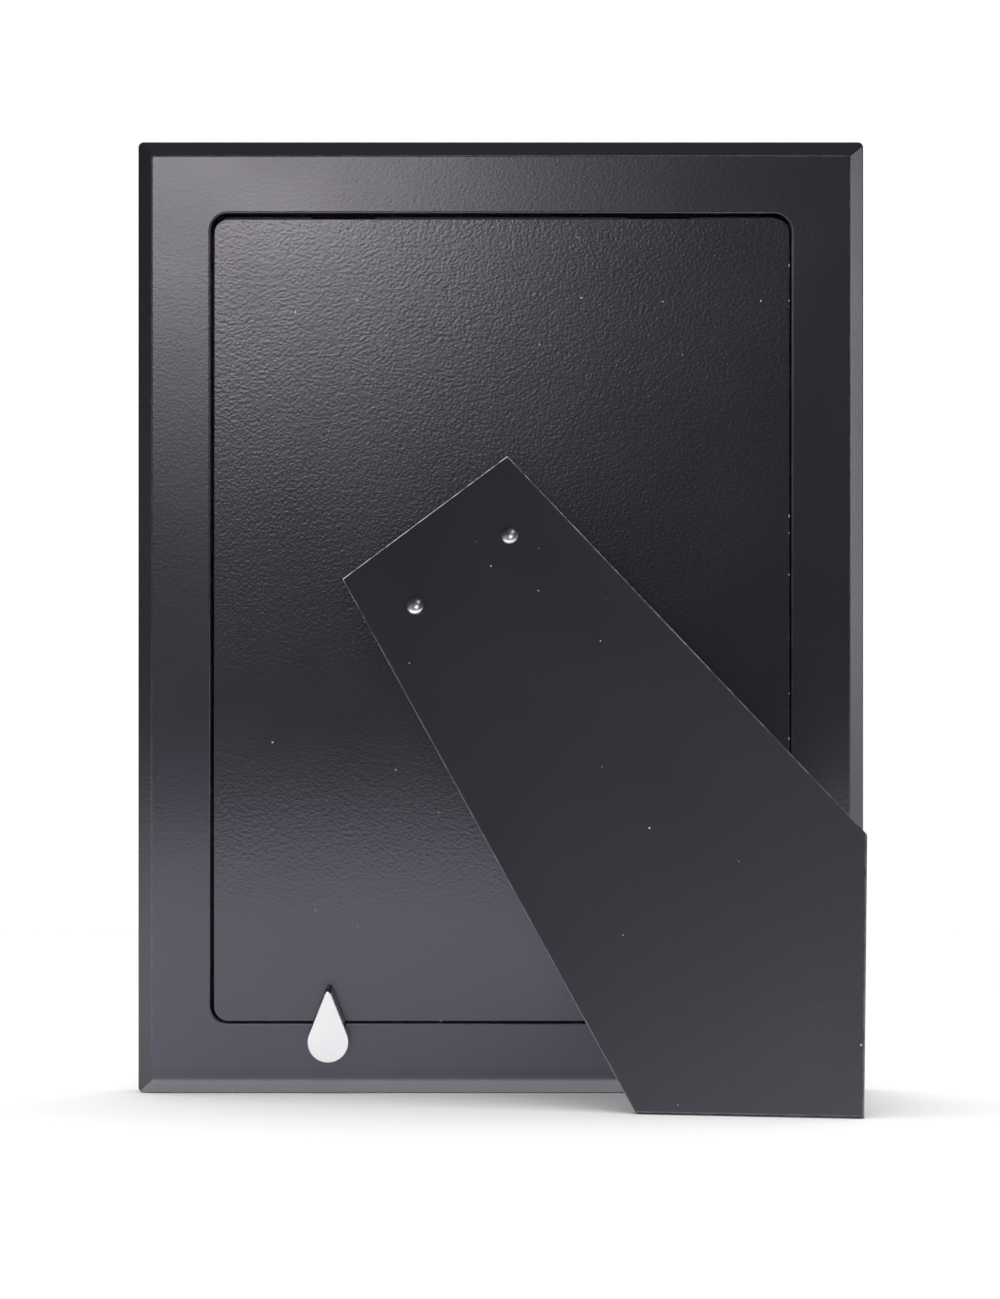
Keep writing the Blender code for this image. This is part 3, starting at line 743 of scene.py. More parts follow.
def window_glass():
    """Clear glass, faintly green and not quite even."""
    material, graph, shader, place = new_material("window_glass")
    shader.inputs["Transmission Weight"].default_value = 1.0
    shader.inputs["Roughness"].default_value = 0.01
    shader.inputs["IOR"].default_value = 1.5
    drift = graph.call(shared_group("tone_drift", tone_drift), Place=place,
                       Patch_Size=60 * MM, Low=0.0, High=1.0).outputs["Value"]
    tint = graph.blend(drift, (0.955, 0.985, 0.972, 1.0), (0.97, 0.99, 0.982, 1.0))
    graph.feed(shader.inputs["Base Color"], tint)
    return material


def raw_card():
    """Dark card with short fibres."""
    finish = bpy.context.scene.photo_frame.finish
    material, graph, shader, place = new_material("raw_card")
    shader.inputs["Roughness"].default_value = 0.9
    stretch = graph.add("ShaderNodeMapping", {"Vector": place, "Scale": (900, 900, 2600)})
    fibres = graph.add("ShaderNodeTexNoise", {"Vector": stretch.outputs[0], "Scale": 1.0,
                                              "Detail": 4.0, "Roughness": 0.65})
    tone = graph.spread(fibres.outputs["Fac"], 0.35, 0.65)
    pale = tuple(value * 1.2 for value in finish.card)
    graph.feed(shader.inputs["Base Color"],
               graph.blend(tone, (*finish.card, 1.0), (*pale, 1.0)))
    bump = graph.add("ShaderNodeBump", {"Height": fibres.outputs["Fac"], "Strength": 0.5,
                                        "Distance": 0.05 * MM})
    graph.feed(shader.inputs["Normal"], bump.outputs["Normal"])
    return material


def hills_print():
    """Picture of three ranges of soft hills under a pale sky."""
    material, graph, shader, place = new_material("hills_print")
    low, high = node_extent("photo_print", BODY_PLACE)
    upright = graph.add("ShaderNodeMapping", {
        "Vector": place, "Rotation": (math.atan2(REAR.z, REAR.y) * -1.0, 0.0, 0.0)})
    axes = graph.add("ShaderNodeSeparateXYZ", {0: upright.outputs[0]})
    bottom = (BODY_PLACE.inverted().translation.z * -1.0) + low.z
    rise = graph.spread(axes.outputs["Z"], bottom, bottom + high.z - low.z)
    sky = graph.add("ShaderNodeValToRGB", {"Fac": rise})
    sky.color_ramp.elements[0].position = 0.3
    sky.color_ramp.elements[0].color = (0.86, 0.74, 0.58, 1.0)
    sky.color_ramp.elements[1].position = 0.95
    sky.color_ramp.elements[1].color = (0.34, 0.50, 0.62, 1.0)
    picture = sky.outputs["Color"]
    ranges = ((0.50, 0.16, 16.0, 3.1, (0.42, 0.52, 0.56)),
              (0.36, 0.13, 24.0, 7.7, (0.20, 0.32, 0.31)),
              (0.22, 0.10, 34.0, 12.9, (0.07, 0.15, 0.11)))
    for level, swing, frequency, seed, tint in ranges:
        ridge = graph.add("ShaderNodeTexNoise", {"W": seed, "Scale": frequency, "Detail": 3.0},
                          noise_dimensions="1D")
        graph.feed(ridge.inputs["W"], graph.math("ADD", axes.outputs["X"], seed))
        line = graph.math("MULTIPLY_ADD", ridge.outputs["Fac"], swing)
        line.node.inputs[2].default_value = level - swing / 2
        below = graph.spread(graph.math("SUBTRACT", line, rise), 0.0, 0.006)
        picture = graph.blend(below, picture, (*tint, 1.0))
    graph.feed(shader.inputs["Base Color"], picture)
    gloss = graph.call(shared_group("tone_drift", tone_drift), Place=place,
                       Patch_Size=20 * MM, Low=0.34, High=0.42).outputs["Value"]
    graph.feed(shader.inputs["Roughness"], gloss)
    return material


def finish_for(name):
    """A finish by its name, made the first time it is asked for."""
    if name in bpy.data.materials:
        return bpy.data.materials[name]
    finish = bpy.context.scene.photo_frame.finish
    makers = {
        "satin_lacquer": lambda: coated_board("satin_lacquer", finish.lacquer,
                                              finish.lacquer_gloss, 0.6 * MM, 0.016 * MM,
                                              0.0, 0.55, 0.0, finish.worn_edge),
        "pebbled_coating": lambda: coated_board("pebbled_coating", finish.panel,
                                              finish.panel_gloss, finish.grain_size,
                                              finish.grain_depth, 0.30, 0.5, 0.22,
                                              finish.worn_edge),
        # The leg's arrises take a pale painted highlight, not worn coating, strongest along the
        # top edge.
        "leg_coating": lambda: coated_board("leg_coating", finish.leg, finish.leg_gloss,
                                            0.7 * MM, 0.014 * MM, 0.5, 2.4, 0.0,
                                            finish.arris_highlight),
        "rivet_steel": lambda: plated_metal("rivet_steel", finish.steel, 0.30, 0.38,
                                            2 * MM, 0.0005 * MM),
        "zinc_plate": lambda: plated_metal("zinc_plate", finish.zinc, 0.28, 0.5,
                                           3 * MM, 0.004 * MM),
        "satin_nickel": satin_nickel,
        "stained_board": tongue_shade_board,
        "turned_brass": turned_brass,
        "window_glass": window_glass,
        "raw_card": raw_card,
        "hills_print": hills_print,
    }
    return makers[name]()


# ---------------------------------------------------------------- body, panel and layers
def body_sections(sizes, low, high, lip_back):
    """Sections from the flat rear face round the outside and through the window and recess."""
    front = low.y
    guide = 2 * sizes.chamfer_run
    outside = [(guide, 0.0), (sizes.chamfer_run, 0.0), (0.0, -sizes.chamfer_depth),
               (0.0, front + sizes.chamfer_depth), (sizes.chamfer_run, front), (guide, front)]
    sight = [(guide, front), (sizes.sight_bevel, front), (0.0, front + sizes.sight_bevel),
             (0.0, lip_back), (guide, lip_back)]
    recess = [(0.0, lip_back), (0.0, 0.0), (guide, 0.0)]
    middle = (low.z + high.z) / 2
    corner = (high.x, high.z - middle)
    sections = []
    for inset, depth, arris_weight in soften(outside, sizes.outer_arris, 2 * ARRIS_STEPS):
        radius = max(sizes.outer_radius - inset, sizes.mitre_radius)
        outline = rounded_rectangle((inset - corner[0], middle - corner[1] + inset),
                                    (corner[0] - inset, middle + corner[1] - inset), radius)
        sections.append((depth, outline, arris_weight))
    half = (sizes.sight_width / 2, sizes.sight_height / 2)
    for outset, depth, arris_weight in soften(sight, sizes.arris_radius):
        edges = grown((-half[0], middle - half[1]), (half[0], middle + half[1]), outset)
        sections.append((depth, rounded_rectangle(*edges, sizes.mitre_radius), arris_weight))
    half = (sizes.recess_width / 2, sizes.recess_height / 2)
    for outset, depth, arris_weight in [(0.0, lip_back, 0.0)] + soften(recess, sizes.arris_radius):
        edges = grown((-half[0], middle - half[1]), (half[0], middle + half[1]), outset)
        outline = rounded_rectangle(*edges, sizes.recess_radius + outset)
        sections.append((depth, outline, arris_weight))
    return sections


class PHOTOFRAME_OT_body(bpy.types.Operator):
    """Make the routed body with its chamfers, recess, tongue slots and bush hole"""

    bl_idname = "photoframe.make_body"
    bl_label = "Frame Body"

    def execute(self, context):
        settings = context.scene.photo_frame
        low, high = node_extent("frame_body", BODY_PLACE)
        panel_low, panel_high = node_extent("back_panel", BODY_PLACE)
        lip_back = node_extent("front_glass", BODY_PLACE)[0].y - FIT_GAP
        body = loft("routed_body", body_sections(settings.body, low, high, lip_back), ring=True)
        panel = settings.panel
        half = panel.tongue_width / 2 + panel.tongue_play
        recess_top = (low.z + high.z + settings.body.recess_height) / 2
        slot_back = panel_low.y + panel.tongue_thickness + FIT_GAP
        for side in (-1, 1):
            middle = side * panel.tongue_offset
            slot = block(f"slot_{side}",
                         (middle - half, panel_low.y - FIT_GAP, recess_top - CUT_MARGIN),
                         (middle + half, slot_back, panel_high.z + panel.tongue_play))
            combine(body, slot)
        bush_low, bush_high = node_extent("button_bush", BODY_PLACE)
        stud_low = node_extent("button_stud", BODY_PLACE)[0]
        centre = ((bush_low.x + bush_high.x) / 2, (bush_low.z + bush_high.z) / 2)
        hole_radius = (bush_high.x - bush_low.x) / 2 + FIT_GAP
        ends = [(stud_low.y - FIT_GAP, hole_radius), (CUT_MARGIN, hole_radius)]
        hole = turned("bush_hole", ends, SMALL_SIDES, centre)
        combine(body, hole)
        settle(body, BODY_PLACE, finish_for("satin_lacquer"), "frame", "lacquer", "frame_body")
        return {"FINISHED"}


class PHOTOFRAME_OT_panel(bpy.types.Operator):
    """Make the grained back panel with its tongues and rivet holes"""

    bl_idname = "photoframe.make_panel"
    bl_label = "Back Panel"

    def execute(self, context):
        settings = context.scene.photo_frame
        sizes = settings.panel
        low, high = node_extent("back_panel", BODY_PLACE)
        top = low.z + sizes.height
        profile = [(2 * sizes.arris_radius, high.y), (0.0, high.y), (0.0, low.y)]
        sections = []
        for inset, depth, arris_weight in soften(profile, sizes.arris_radius) + [(0.0, low.y, 0.0)]:
            outline = rounded_rectangle((low.x + inset, low.z + inset),
                                        (high.x - inset, top - inset),
                                        sizes.corner_radius - inset)
            sections.append((depth, outline, arris_weight))
        panel = loft("grained_panel", sections)
        for side in (-1, 1):
            middle = side * sizes.tongue_offset
            tongue = block(f"tongue_{side}",
                           (middle - sizes.tongue_width / 2, low.y, top - 3 * CUT_MARGIN),
                           (middle + sizes.tongue_width / 2, low.y + sizes.tongue_thickness,
                            high.z))
            combine(panel, tongue, "UNION")
        leg = settings.leg
        inner_face = low.y - HINGE_IN_BODY.translation.y
        for side in (-1, 1):
            centre = (side * leg.panel_rivet_offset, -leg.panel_rivet_drop)
            bores = ((leg.rivet_shank + FIT_GAP, CUT_MARGIN),
                     (leg.washer_radius + FIT_GAP, inner_face + leg.counterbore_depth))
            for index, (radius, end) in enumerate(bores):
                bore = turned(f"panel_bore_{side}_{index}",
                              [(inner_face - CUT_MARGIN, radius), (end, radius)],
                              SMALL_SIDES, centre)
                bore.data.transform(HINGE_IN_BODY)
                combine(panel, bore)
        settle(panel, BODY_PLACE, finish_for("pebbled_coating"), "frame", "grained_board",
               "back_panel")
        # The tongues take the near-black board: painted shade in the gap above the panel.
        panel.data.materials.append(finish_for("stained_board"))
        inverse = BODY_PLACE.inverted()
        for polygon in panel.data.polygons:
            polygon.material_index = int((inverse @ polygon.center).z > top + FIT_GAP / 10)
        return {"FINISHED"}


def flat_sheet(name, node, finish, slot, arris, radius):
    """A flat sheet in its node's extent, with eased edges."""
    low, high = node_extent(node, BODY_PLACE)
    middle = (low.y + high.y) / 2
    rear = [(arris * 4, high.y), (0.0, high.y), (0.0, middle)]
    front = [(0.0, middle), (0.0, low.y), (arris * 4, low.y)]
    sections = []
    for inset, depth, arris_weight in soften(rear, arris, 2) + soften(front, arris, 2):
        outline = rounded_rectangle((low.x + inset, low.z + inset),
                                    (high.x - inset, high.z - inset), radius - inset)
        sections.append((depth, outline, arris_weight))
    sheet = loft(name, sections)
    return settle(sheet, BODY_PLACE, finish_for(finish), "frame", slot, node)


class PHOTOFRAME_OT_layers(bpy.types.Operator):
    """Make the glass, the print and the card that lie in the recess"""

    bl_idname = "photoframe.make_layers"
    bl_label = "Glass, Print and Card"

    def execute(self, context):
        sizes = context.scene.photo_frame.panel
        sheets = (("glass_pane", "front_glass", "window_glass", "glass", sizes.sheet_arris * 3),
                  ("picture_print", "photo_print", "hills_print", "print", sizes.sheet_arris / 2),
                  ("backing_card", "filler_card", "raw_card", "card", sizes.sheet_arris * 2))
        for name, node, finish, slot, arris in sheets:
            flat_sheet(name, node, finish, slot, arris, sizes.sheet_radius)
        return {"FINISHED"}


# ---------------------------------------------------------------- hinge
def leaf_outline(half, leaf_length, radius):
    """Plate of a hinge leaf seen from outside: square at the hinge line, round at its foot."""
    left = arc(radius - half, radius - leaf_length, radius, -math.pi, -math.pi / 2, ARRIS_STEPS)
    right = arc(half - radius, radius - leaf_length, radius, -math.pi / 2, 0.0, ARRIS_STEPS)
    return [(half, 0.0), (-half, 0.0)] + left + right


def hinge_leaf(name, plate, knuckles, notches, rivets):
    """Leaf with its rolled knuckles, notches and rivet holes."""
    settings = bpy.context.scene.photo_frame
    sizes = settings.hinge
    half = sizes.width / 2
    outline = leaf_outline(half, sizes.leaf_length, sizes.leaf_corner)
    leaf = loft(name, [(position, outline, 0.0) for position in plate])
    for index, (start, end) in enumerate(notches):
        combine(leaf, block(f"{name}_notch_{index}", (start, plate[0] - CUT_MARGIN, -sizes.notch),
                            (end, plate[1] + CUT_MARGIN, CUT_MARGIN)))
    ease = sizes.leaf_thickness / 8
    for index, (start, end) in enumerate(knuckles):
        rolled = [(start, sizes.knuckle_radius - ease), (start + ease, sizes.knuckle_radius),
                  (end - ease, sizes.knuckle_radius), (end, sizes.knuckle_radius - ease)]
        combine(leaf, turned(f"{name}_knuckle_{index}", rolled, SMALL_SIDES, along="X"), "UNION")
    bore = sizes.pin_radius + FIT_GAP
    ends = [(-half - CUT_MARGIN, bore), (half + CUT_MARGIN, bore)]
    combine(leaf, turned(f"{name}_bore", ends, SMALL_SIDES, along="X"))
    hole = settings.leg.rivet_shank + FIT_GAP
    for index, (offset_x, drop) in enumerate(rivets):
        ends = [(plate[0] - CUT_MARGIN, hole), (plate[1] + CUT_MARGIN, hole)]
        combine(leaf, turned(f"{name}_hole_{index}", ends, SMALL_SIDES, (offset_x, -drop)))
    return leaf


class PHOTOFRAME_OT_hinge(bpy.types.Operator):
    """Make the two hinge leaves and the pin through their knuckles"""

    bl_idname = "photoframe.make_hinge"
    bl_label = "Hinge"

    def execute(self, context):
        settings = context.scene.photo_frame
        sizes = settings.hinge
        leg = settings.leg
        half = sizes.width / 2
        split = sizes.knuckle_split
        outer = sizes.knuckle_radius - sizes.leaf_inset
        inner = outer - sizes.leaf_thickness
        rivets = [(side * leg.panel_rivet_offset, leg.panel_rivet_drop) for side in (-1, 1)]
        clear = split + FIT_GAP
        panel_leaf = hinge_leaf("panel_leaf", (-outer, -inner), [(-half, -clear), (clear, half)],
                                [(-clear, clear)], rivets)
        settle(panel_leaf, HINGE_PLACE, finish_for("zinc_plate"), "frame", "hinge_steel",
               "hinge_panel_leaf")
        rivets = [(side * leg.rivet_offset, leg.rivet_drop) for side in (-1, 1)]
        outside = half + CUT_MARGIN
        leg_leaf = hinge_leaf("leg_leaf", (inner, outer), [(-split, split)],
                              [(-outside, -split), (split, outside)], rivets)
        settle(leg_leaf, LEG_PLACE, finish_for("zinc_plate"), "leg", "hinge_steel",
               "hinge_leg_leaf")
        pin_high = node_extent("hinge_pin", HINGE_PLACE)[1]
        shoulder = half + FIT_GAP
        crown = (pin_high.x - shoulder) * 0.4
        pin = [(-pin_high.x, sizes.pin_head * 0.72), (crown - pin_high.x, sizes.pin_head),
               (-shoulder, sizes.pin_head), (-shoulder, sizes.pin_radius),
               (shoulder, sizes.pin_radius), (shoulder, sizes.pin_head),
               (pin_high.x - crown, sizes.pin_head), (pin_high.x, sizes.pin_head * 0.72)]
        settle(turned("peened_pin", pin, SMALL_SIDES, along="X"), HINGE_PLACE,
               finish_for("zinc_plate"), "frame", "hinge_steel", "hinge_pin")
        return {"FINISHED"}


# ---------------------------------------------------------------- rivets and washers
def fastener_row():
    """Geometry Nodes tree: one fastener repeated in a row, each turned by its own chance."""
    name = "fastener_row"
    if name in bpy.data.node_groups:
        return bpy.data.node_groups[name]
    tree = bpy.data.node_groups.new(name, "GeometryNodeTree")
    sockets = (("Fastener", "NodeSocketGeometry"), ("Count", "NodeSocketInt"),
               ("First Place", "NodeSocketVector"), ("Step", "NodeSocketVector"),
               ("Turn Seed", "NodeSocketInt"), ("Finish", "NodeSocketMaterial"))
    for label, kind in sockets:
        tree.interface.new_socket(label, in_out="INPUT", socket_type=kind)
    tree.interface.new_socket("Row", in_out="OUTPUT", socket_type="NodeSocketGeometry")
    graph = Graph(tree)
    start = graph.add("NodeGroupInput").outputs
    points = graph.add("GeometryNodeMeshLine", {
        "Count": start["Count"], "Start Location": start["First Place"], "Offset": start["Step"]},
        mode="OFFSET")
    chance = graph.add("FunctionNodeRandomValue", data_type="FLOAT")
    graph.feed(chance.inputs[3], 2 * math.pi)
    graph.feed(chance.inputs["Seed"], start["Turn Seed"])
    spin = graph.add("ShaderNodeCombineXYZ", {"Y": chance.outputs[1]})
    placed = graph.add("GeometryNodeInstanceOnPoints", {
        "Points": points.outputs[0], "Instance": start["Fastener"], "Rotation": spin.outputs[0]})
    solid = graph.add("GeometryNodeRealizeInstances", {0: placed.outputs[0]})
    coloured = graph.add("GeometryNodeSetMaterial", {
        "Geometry": solid.outputs[0], "Material": start["Finish"]})
    end = graph.add("NodeGroupOutput")
    graph.feed(end.inputs["Row"], coloured.outputs[0])
    return tree


def pair(fastener, spread, drop, seed, place, finish, body, slot, *nodes):
    """Repeat a fastener on both sides of the middle and settle the two as one piece."""
    material = finish_for(finish)
    modifier = fastener.modifiers.new("row", "NODES")
    modifier.node_group = fastener_row()
    values = {"Count": 2, "First Place": (-spread, 0.0, -drop), "Step": (2 * spread, 0.0, 0.0),
              "Turn Seed": seed, "Finish": material}
    for socket in modifier.node_group.interface.items_tree:
        if socket.name in values:
            modifier[socket.identifier] = values[socket.name]
    return settle(fastener, place, material, body, slot, *nodes)


def dome(base, radius, height, steps=10):
    """(position, radius) pairs of a domed head with a small edge under it."""
    edge = height / 12
    rise = height - edge
    profile = [(base, radius - edge), (base + edge, radius)]
    for step in range(1, steps):
        angle = step / steps * math.pi / 2
        profile.append((base + edge + rise * math.sin(angle), radius * math.cos(angle)))
    return profile


class PHOTOFRAME_OT_rivets(bpy.types.Operator):
    """Make the domed rivets of the leg, and the panel's rivets with their washers"""

    bl_idname = "photoframe.make_rivets"
    bl_label = "Rivets and Washers"

    def execute(self, context):
        sizes = context.scene.photo_frame.leg
        low, high = node_extent("leg_rivet_left", LEG_PLACE)
        base = high.y - sizes.rivet_height
        profile = [(low.y, sizes.rivet_shank), (low.y + sizes.tail_height, sizes.rivet_tail),
                   (low.y + sizes.tail_height, sizes.rivet_shank), (base, sizes.rivet_shank)]
        crown = dome(base, sizes.rivet_head, sizes.rivet_height)
        rivet = turned("domed_rivets", profile + crown, ROUND_SIDES)
        pair(rivet, sizes.rivet_offset, sizes.rivet_drop, 3, LEG_PLACE, "rivet_steel",
             "leg", "polished_steel", "leg_rivet_left", "leg_rivet_right")
        low, high = node_extent("panel_rivet_left", HINGE_PLACE)
        head = high.y - sizes.tail_height
        tail = low.y + sizes.tail_height
        profile = [(low.y, sizes.rivet_tail * 0.9),
                   (low.y + sizes.tail_height / 4, sizes.rivet_tail),
                   (tail, sizes.rivet_tail), (tail, sizes.rivet_shank),
                   (head, sizes.rivet_shank), (head, sizes.rivet_tail),
                   (high.y - sizes.tail_height / 3, sizes.rivet_tail * 0.82),
                   (high.y, sizes.rivet_shank * 0.9)]
        rivet = turned("flat_rivets", profile, SMALL_SIDES)
        pair(rivet, sizes.panel_rivet_offset, sizes.panel_rivet_drop, 5, HINGE_PLACE,
             "zinc_plate", "frame", "hinge_steel", "panel_rivet_left", "panel_rivet_right")
        low, high = node_extent("rivet_washer_left", HINGE_PLACE)
        washer = tube("rivet_washers", low.y, high.y, sizes.rivet_shank + FIT_GAP,
                      sizes.washer_radius, sizes.tail_height / 8)
        pair(washer, sizes.panel_rivet_offset, sizes.panel_rivet_drop, 7, HINGE_PLACE,
             "zinc_plate", "frame", "hinge_steel", "rivet_washer_left", "rivet_washer_right")
        return {"FINISHED"}


# ---------------------------------------------------------------- leg
def straight_corners(points, shortest):
    """Corners where the long straight sides of a convex set of (x, z) points would meet."""
    hull = [Vector(points[i]) for i in convex_hull_2d(points)]
    sides = []
    for start, end in zip(hull, hull[1:] + hull[:1]):
        if (end - start).length > shortest:
            sides.append((start, (end - start).normalized()))
    corners = []
    for (start, along), (other, heading) in zip(sides, sides[1:] + sides[:1]):
        reach = (other - start).cross(heading) / along.cross(heading)
        corners.append(start + along * reach)
    area = sum(a.cross(b) for a, b in zip(corners, corners[1:] + corners[:1]))
    return corners if area > 0 else corners[::-1]


class PHOTOFRAME_OT_leg(bpy.types.Operator):
    """Make the flared easel leg with its rivet holes"""

    bl_idname = "photoframe.make_leg"
    bl_label = "Easel Leg"

    def execute(self, context):
        sizes = context.scene.photo_frame.leg
        low, high = node_extent("easel_leg", LEG_PLACE)
        inverse = LEG_PLACE.inverted()
        points = [inverse @ vert.co for vert in frame["nodes"]["easel_leg"].data.vertices]
        corners = straight_corners([(point.x, point.z) for point in points], high.y - low.y)
        guide = 4 * sizes.arris_radius
        profile = [(guide, low.y), (0.0, low.y), (0.0, high.y), (guide, high.y)]
        sections = []
        for inset, depth, arris_weight in soften(profile, sizes.arris_radius):
            outline = rounded_polygon(corners, inset, sizes.corner_radius)
            sections.append((depth, outline, arris_weight))
        leg = loft("flared_leg", sections)
        # The top arris keeps the full pale painted highlight; the other arrises keep only a share
        # of it.
        arris_weight = leg.data.attributes[ARRIS_MASK].data
        for vert, mask in zip(leg.data.vertices, arris_weight):
            if vert.co.z < high.z - sizes.corner_radius:
                mask.value *= sizes.flank_highlight_share
        hole = sizes.rivet_shank + FIT_GAP
        for side in (-1, 1):
            ends = [(low.y - CUT_MARGIN, hole), (high.y + CUT_MARGIN, hole)]
            centre = (side * sizes.rivet_offset, -sizes.rivet_drop)
            combine(leg, turned(f"leg_hole_{side}", ends, SMALL_SIDES, centre))
        settle(leg, LEG_PLACE, finish_for("leg_coating"), "leg", "leg_board", "easel_leg")
        return {"FINISHED"}


# ---------------------------------------------------------------- turn button
class PHOTOFRAME_OT_turn_button(bpy.types.Operator):
    """Make the teardrop turn button, its stud and its bush"""

    bl_idname = "photoframe.make_turn_button"
    bl_label = "Turn Button"

    def execute(self, context):
        sizes = context.scene.photo_frame.button
        low, high = node_extent("turn_button", BUTTON_PLACE)
        base, top = low.y, high.y
        foot = sizes.rim / 3
        shapes = [(base, foot), (base + foot, 0.0)]
        for step in range(ARRIS_STEPS + 1):
            angle = step / ARRIS_STEPS * math.pi / 2
            shapes.append((top - sizes.rim + sizes.rim * math.sin(angle),
                           sizes.draft + sizes.rim * (1 - math.cos(angle))))
        shapes.append((top, sizes.draft + sizes.rim + GUARD / 2))
        sections = []
        for depth, inset in shapes:
            outline = teardrop(sizes.radius - inset, sizes.tip - inset * sizes.tip_lean,
                               sizes.tip_radius - inset * 0.6)
            sections.append((depth, outline, 0.0))
        button = loft("teardrop_button", sections)
        face = button.data.attributes.new(FACE_MASK, "FLOAT", "POINT")
        face.data.foreach_set("value", [1.0 if vert.co.y > top - sizes.rim * 0.05 else 0.0
                                        for vert in button.data.vertices])
        stud_high = node_extent("button_stud", BUTTON_PLACE)[1]
        bore = sizes.stud_radius + FIT_GAP
        combine(button, turned("stud_bore", [(base - CUT_MARGIN, bore),
                                             (stud_high.y + FIT_GAP, bore)], SMALL_SIDES))
        settle(button, BUTTON_PLACE, finish_for("satin_nickel"), "button", "nickel",
               "turn_button")
        stud_low = node_extent("button_stud", BUTTON_PLACE)[0]
        shoulder = stud_low.y + sizes.stud_foot_height
        stud = [(stud_low.y, sizes.stud_radius), (shoulder, sizes.stud_foot),
                (shoulder, sizes.stud_radius), (stud_high.y - foot, sizes.stud_radius),
                (stud_high.y, sizes.stud_radius - foot)]
        settle(turned("headed_stud", stud, SMALL_SIDES), BUTTON_PLACE,
               finish_for("satin_nickel"), "button", "nickel", "button_stud")
        bush_low, bush_high = node_extent("button_bush", BUTTON_PLACE)
        bush = tube("brass_bush", bush_low.y, bush_high.y, bore, sizes.bush_radius, foot)
        settle(bush, BUTTON_PLACE, finish_for("turned_brass"), "frame", "brass", "button_bush")
        return {"FINISHED"}


# ---------------------------------------------------------------- studio
def area_light(name, spot, target, size, watts, tint, glints_only=False):
    """Soft rectangular light at a spot, facing a target; some show only as glints."""
    light = bpy.data.lights.new(name, "AREA")
    light.shape = "RECTANGLE"
    light.size, light.size_y = size
    light.energy = watts
    light.color = tint
    obj = bpy.data.objects.new(name, light)
    obj.location = spot
    obj.rotation_euler = (target - spot).to_track_quat("-Z", "Y").to_euler()
    obj.visible_camera = False
    obj.visible_diffuse = not glints_only
    bpy.context.scene.collection.objects.link(obj)
    return obj


def bearing(middle, side, rise, distance):
    """Spot at a distance from the middle, by its angles from the normal of the frame's back."""
    heading = Vector((math.sin(side) * math.cos(rise), math.cos(side) * math.cos(rise),
                      math.sin(rise)))
    return middle + BODY_PLACE.to_3x3() @ heading * distance


def make_floor():
    """Large pale floor under the frame."""
    material, graph, shader, place = new_material("pale_floor")
    tone = graph.call(shared_group("tone_drift", tone_drift), Place=place,
                      Patch_Size=0.8, Low=0.0, High=1.0).outputs["Value"]
    graph.feed(shader.inputs["Base Color"],
               graph.blend(tone, (0.86, 0.86, 0.87, 1.0), (0.88, 0.88, 0.88, 1.0)))
    shader.inputs["Roughness"].default_value = 0.9
    shader.inputs["Specular IOR Level"].default_value = 0.1
    builder = bmesh.new()
    bmesh.ops.create_circle(builder, cap_ends=True, segments=96, radius=6.0)
    mesh = bpy.data.meshes.new("floor")
    builder.to_mesh(mesh)
    builder.free()
    mesh.transform(Matrix.Translation((0.0, 0.0, MODEL_BOX[0].z - 0.05 * MM)))
    mesh.materials.append(material)
    new_piece("floor", mesh)


def make_dark_cloth(start):
    """Dark cloth on the table behind and to one side, which shows only in reflections."""
    material, graph, shader, place = new_material("dark_cloth")
    weave = graph.add("ShaderNodeTexNoise", {"Vector": place, "Scale": 400.0})
    graph.feed(shader.inputs["Base Color"],
               graph.blend(weave.outputs["Fac"], (0.012, 0.012, 0.014, 1.0),
                           (0.018, 0.018, 0.020, 1.0)))
    shader.inputs["Roughness"].default_value = 1.0
    shader.inputs["Specular IOR Level"].default_value = 0.0
    outline = [(-3.0, start), (0.5, start), (0.5, -1.0), (3.0, -1.0), (3.0, 5.0), (-3.0, 5.0)]
    mesh = bpy.data.meshes.new("dark_cloth")
    mesh.from_pydata([(x, y, 0.1 * MM) for x, y in outline], [], [range(len(outline))])
    mesh.materials.append(material)
    cloth = new_piece("dark_cloth", mesh)
    cloth.visible_camera = False
    cloth.visible_shadow = False
    cloth.visible_diffuse = False


def make_room(dim, backdrop, fill):
    """Even white to the camera; a dim room with a pale backdrop in reflections; an even fill."""
    world = bpy.data.worlds.new("white_studio")
    world.use_nodes = True
    graph = Graph(world.node_tree)
    world.node_tree.nodes.clear()
    path = graph.add("ShaderNodeLightPath").outputs
    heading = graph.add("ShaderNodeTexCoord").outputs["Generated"]
    behind = graph.add("ShaderNodeVectorMath", {0: heading, 1: (0.0, -0.8, 0.6)},
                       operation="DOT_PRODUCT").outputs["Value"]
    mirrored = graph.spread(behind, 0.45, 0.80, dim, backdrop, "SMOOTHSTEP")
    unseen = graph.add("ShaderNodeMix", {"Factor": path["Is Glossy Ray"], "A": fill,
                                         "B": mirrored}).outputs["Result"]
    strength = graph.add("ShaderNodeMix", {"Factor": path["Is Camera Ray"], "A": unseen,
                                           "B": 1.1}).outputs["Result"]
    room = graph.add("ShaderNodeBackground", {"Color": (1.0, 1.0, 1.0, 1.0),
                                              "Strength": strength})
    graph.add("ShaderNodeOutputWorld", {"Surface": room.outputs[0]})
    world.cycles.sampling_method = "NONE"
    bpy.context.scene.world = world


